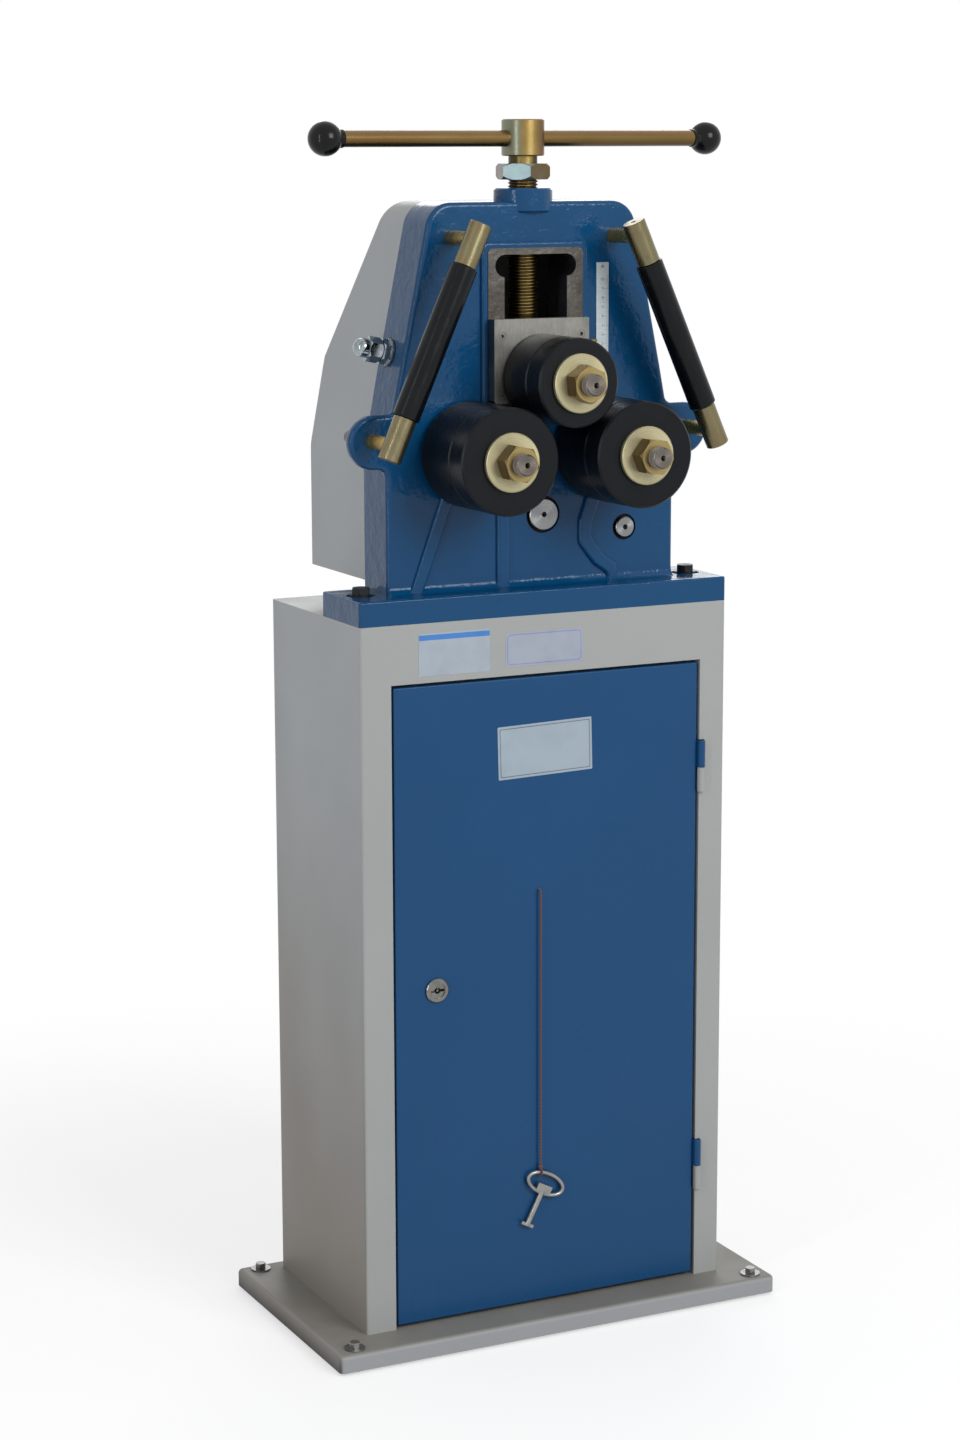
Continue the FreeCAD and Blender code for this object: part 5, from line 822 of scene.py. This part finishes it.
def label_outline(middle, size, margin, radius, tilt=0.0):
    """Points round a label this wide and high, or round a line that lies margin inside its edge."""
    half_x, half_z = (length / 2.0 - margin for length in size)
    turn = math.radians(tilt)
    points = []
    for sx, sz, start in ((1, 1, 0), (-1, 1, 90), (-1, -1, 180), (1, -1, 270)):
        for step in range(CORNER_STEPS + 1):
            angle = math.radians(start + 90.0 * step / CORNER_STEPS)
            px = sx * half_x - sx * radius + radius * math.cos(angle)
            pz = sz * half_z - sz * radius + radius * math.sin(angle)
            points.append((middle[0] + px * math.cos(turn) - pz * math.sin(turn),
                           middle[1] + px * math.sin(turn) + pz * math.cos(turn)))
    return points


def add_film(name, film, body, face, outline):
    """A label's film on the sheet metal behind it."""
    bm = bmesh.new()
    slab(bm, outline, face - FILM_FRONT, face + FILM_BACK, FILM_EDGE)
    finished(name, bm, film, body)


def add_border(name, ink, body, face, outer, inner):
    """A printed line round a label."""
    bm = bmesh.new()
    frame_slab(bm, outer, inner, face - PRINT_FRONT, face - PRINT_BACK)
    finished(name, bm, ink, body)


def add_labels():
    """Bare labels on the cabinet and the door: a plain stripe on the left one, lines round the others."""
    white = printed("label_film", (172, 183, 194), (164, 175, 187), 0.3)
    lilac = printed("label_film_lilac", (167, 175, 189), (159, 167, 183), 0.3)
    pale = printed("label_film_grey", (166, 181, 193), (160, 175, 187), 0.3)
    violet = printed("label_border", (150, 150, 196), (136, 138, 188), 0.34)
    blue = printed("label_stripe", (70, 132, 206), (60, 120, 194), 0.3)
    dark = printed("label_frame", (112, 122, 134), (100, 110, 124), 0.34)

    left = ((-113.7, 781.5), (85.4, 46.6))
    stripe = ((-113.7, 800.2), (85.4, 6.4))
    add_film("cabinet_label_left", white, "root", CABINET_FRONT, label_outline(*left, 0.0, 1.0))
    bm = bmesh.new()
    slab(bm, label_outline(*stripe, 0.3, 0.4), CABINET_FRONT - PRINT_FRONT, CABINET_FRONT - PRINT_BACK)
    finished("cabinet_label_stripe", bm, blue, "root")

    right = ((-4.4, 779.4), (94.9, 37.2))
    add_film("cabinet_label_right", lilac, "root", CABINET_FRONT, label_outline(*right, 0.0, 2.0))
    add_border("cabinet_label_border", violet, "root", CABINET_FRONT, label_outline(*right, 1.6, 4.5),
               label_outline(*right, 2.9, 3.3))

    door, tilt = ((-2.6, 666.3), (116.3, 59.2)), 1.45
    add_film("door_label", pale, "door", DOOR_FRONT, label_outline(*door, 0.0, 1.0, tilt))
    add_border("door_label_frame", dark, "door", DOOR_FRONT, label_outline(*door, 2.4, 1.0, tilt),
               label_outline(*door, 3.4, 0.6, tilt))


# ---------------------------------------------------------------- rule

RULE_FRONT, RULE_RIGHT, RULE_ZERO, RULE_LENGTH = -70.0, 91.6, 1075.0, 105
# Every how many millimetres a mark stands, its length and its thickness.
RULE_MARKS = ((10, 5.0, 0.22), (5, 3.6, 0.14), (1, 2.2, 0.14))
MARK_FRONT, MARK_BACK = 0.04, 0.01
DIGITS_RIGHT, DIGITS_FRONT = 85.9, 0.02
DIGIT_SIZE, DIGIT_DEPTH = 0.0042, 0.00003                        # metres
RIVET_PLACE = (0.0845, 0.0, 1.1895)                              # metres
RIVET_STEPS = 24
RIVET = ((-70.9, 0.0), (-70.9, 0.7), (-70.7, 1.3), (-70.3, 1.75), (-69.9, 1.85), (-69.9, 0.0))


def digits_mesh(number):
    """A number as a flat mesh that lies in X and Y, right-aligned on the origin."""
    text = bpy.data.curves.new("digits", "FONT")
    text.body = str(number)
    text.size = DIGIT_SIZE
    text.extrude = DIGIT_DEPTH
    text.resolution_u = 3
    text.align_x = "RIGHT"
    text.align_y = "CENTER"
    holder = bpy.data.objects.new("digits", text)
    bpy.context.scene.collection.objects.link(holder)
    bpy.context.view_layer.update()
    shape = bpy.data.meshes.new_from_object(holder)
    bpy.data.objects.remove(holder)
    return shape


def add_rule_marks():
    """Millimetre divisions, numbers at each centimetre and a rivet on the rule."""
    ink = printed("rule_ink", (52, 52, 78), (70, 70, 100), 0.5)
    bm = bmesh.new()
    for number in range(RULE_LENGTH + 1):
        length, thick = next(mark[1:] for mark in RULE_MARKS if number % mark[0] == 0)
        left, z = RULE_RIGHT - length, RULE_ZERO + number
        points = [(RULE_RIGHT, z + thick / 2), (left, z + thick / 2), (left, z - thick / 2),
                  (RULE_RIGHT, z - thick / 2)]
        slab(bm, points, RULE_FRONT - MARK_FRONT, RULE_FRONT + MARK_BACK)
    finished("rule_divisions", bm, ink, "root")

    for number in range(0, RULE_LENGTH // 10 + 1):
        shape = digits_mesh(number)
        place = Vector((DIGITS_RIGHT, RULE_FRONT - DIGITS_FRONT, RULE_ZERO + number * 10.0)) * MM
        shape.transform(Matrix.Translation(place) @ Matrix.Rotation(math.pi / 2.0, 4, "X"))
        bm = bmesh.new()
        bm.from_mesh(shape)
        bpy.data.meshes.remove(shape)
        finished("rule_number_%02d" % number, bm, ink, "root")

    bm = turned(plain_rings(RIVET), RIVET_STEPS, Matrix.Translation(RIVET_PLACE) @ ALONG_Y)
    finished("rule_rivet", bm, SURFACES["ground_steel"], "root")


add_lock_washer()
add_labels()
add_rule_marks()

# ---------------------------------------------------------------- floor, world and lamps

WORLD_DIFFUSE = 0.49
FLOOR_TONE = 0.5
FLOOR_GLOW = 0.58
FLOOR_HALF = 30.0
FLOOR_FADE = (0.55, 1.5)             # metres from the middle: the shadow fades into white
FLOOR_BELOW = 0.0005
# Name, place, target, width and height, watts, tint.
LAMPS = (
    ("key_lamp", (0.9, -3.2, 2.4), (0.0, 0.0, 0.9), (1.6, 1.6), 66.0, (1.0, 1.0, 1.0)),
    ("left_lamp", (-2.3, -1.25, 1.35), (0.0, 0.0, 1.0), (0.14, 1.9), 9.5, (0.90, 0.96, 1.0)),
    ("back_lamp", (1.6, 3.0, 2.4), (0.0, 0.0, 0.8), (2.0, 2.0), 26.0, (1.0, 1.0, 1.0)),
)


def add_world():
    """White where it is seen, dimmer where it lights the object."""
    world = bpy.data.worlds.new("studio")
    bpy.context.scene.world = world
    world.use_nodes = True
    n = NodeTree(world.node_tree)
    background = n.tree.nodes["Background"]
    n.feed(background.inputs["Color"], (1.0, 1.0, 1.0, 1.0))
    n.feed(background.inputs["Strength"], n.ramp(n.seen_directly(), 0.0, 1.0, WORLD_DIFFUSE, 1.0))


def floor_material():
    """Pale where it takes the object's shadow, and plain white further out."""
    material = bpy.data.materials.new("floor_pale")
    material.use_nodes = True
    n = NodeTree(material.node_tree)
    n.tree.nodes.clear()
    diffuse = n.new("ShaderNodeBsdfDiffuse")
    n.feed(diffuse.inputs["Color"], (FLOOR_TONE, FLOOR_TONE, FLOOR_TONE, 1.0))
    glow = n.new("ShaderNodeEmission")
    n.feed(glow.inputs["Strength"], n.ramp(n.seen_directly(), 0.0, 1.0, 0.0, FLOOR_GLOW))
    pale = n.new("ShaderNodeAddShader")
    n.feed(pale.inputs[0], diffuse.outputs[0])
    n.feed(pale.inputs[1], glow.outputs[0])
    away = n.new("ShaderNodeVectorMath", operation="LENGTH")
    n.feed(away.inputs[0], n.new("ShaderNodeTexCoord").outputs["Object"])
    fade = n.ramp(away.outputs["Value"], *FLOOR_FADE, interpolation_type="SMOOTHSTEP")
    blend = n.new("ShaderNodeMixShader")
    n.feed(blend.inputs[0], n.math("MULTIPLY", fade, n.seen_directly()))
    n.feed(blend.inputs[1], pale.outputs[0])
    n.feed(blend.inputs[2], n.new("ShaderNodeEmission").outputs[0])
    n.feed(n.new("ShaderNodeOutputMaterial").inputs["Surface"], blend.outputs[0])
    return material


def add_floor():
    """A pale floor that keeps the object's shadow."""
    bm = bmesh.new()
    bmesh.ops.create_grid(bm, x_segments=1, y_segments=1, size=FLOOR_HALF)
    mesh = bpy.data.meshes.new("floor")
    bm.to_mesh(mesh)
    bm.free()
    mesh.materials.append(floor_material())
    floor = bpy.data.objects.new("floor", mesh)
    bpy.context.scene.collection.objects.link(floor)
    floor.location.z = -FLOOR_BELOW


def add_lamp(name, place, target, size, power, tint):
    """A soft lamp of this width and height, aimed at a point."""
    data = bpy.data.lights.new(name, "AREA")
    data.shape = "RECTANGLE"
    data.size, data.size_y = size
    data.energy = power
    data.color = tint
    lamp = bpy.data.objects.new(name, data)
    bpy.context.scene.collection.objects.link(lamp)
    lamp.location = place
    aim = Vector(target) - Vector(place)
    lamp.rotation_euler = aim.to_track_quat("-Z", "Y").to_euler()


add_world()
add_floor()
for lamp in LAMPS:
    add_lamp(*lamp)
bpy.context.scene.view_settings.view_transform = "Standard"
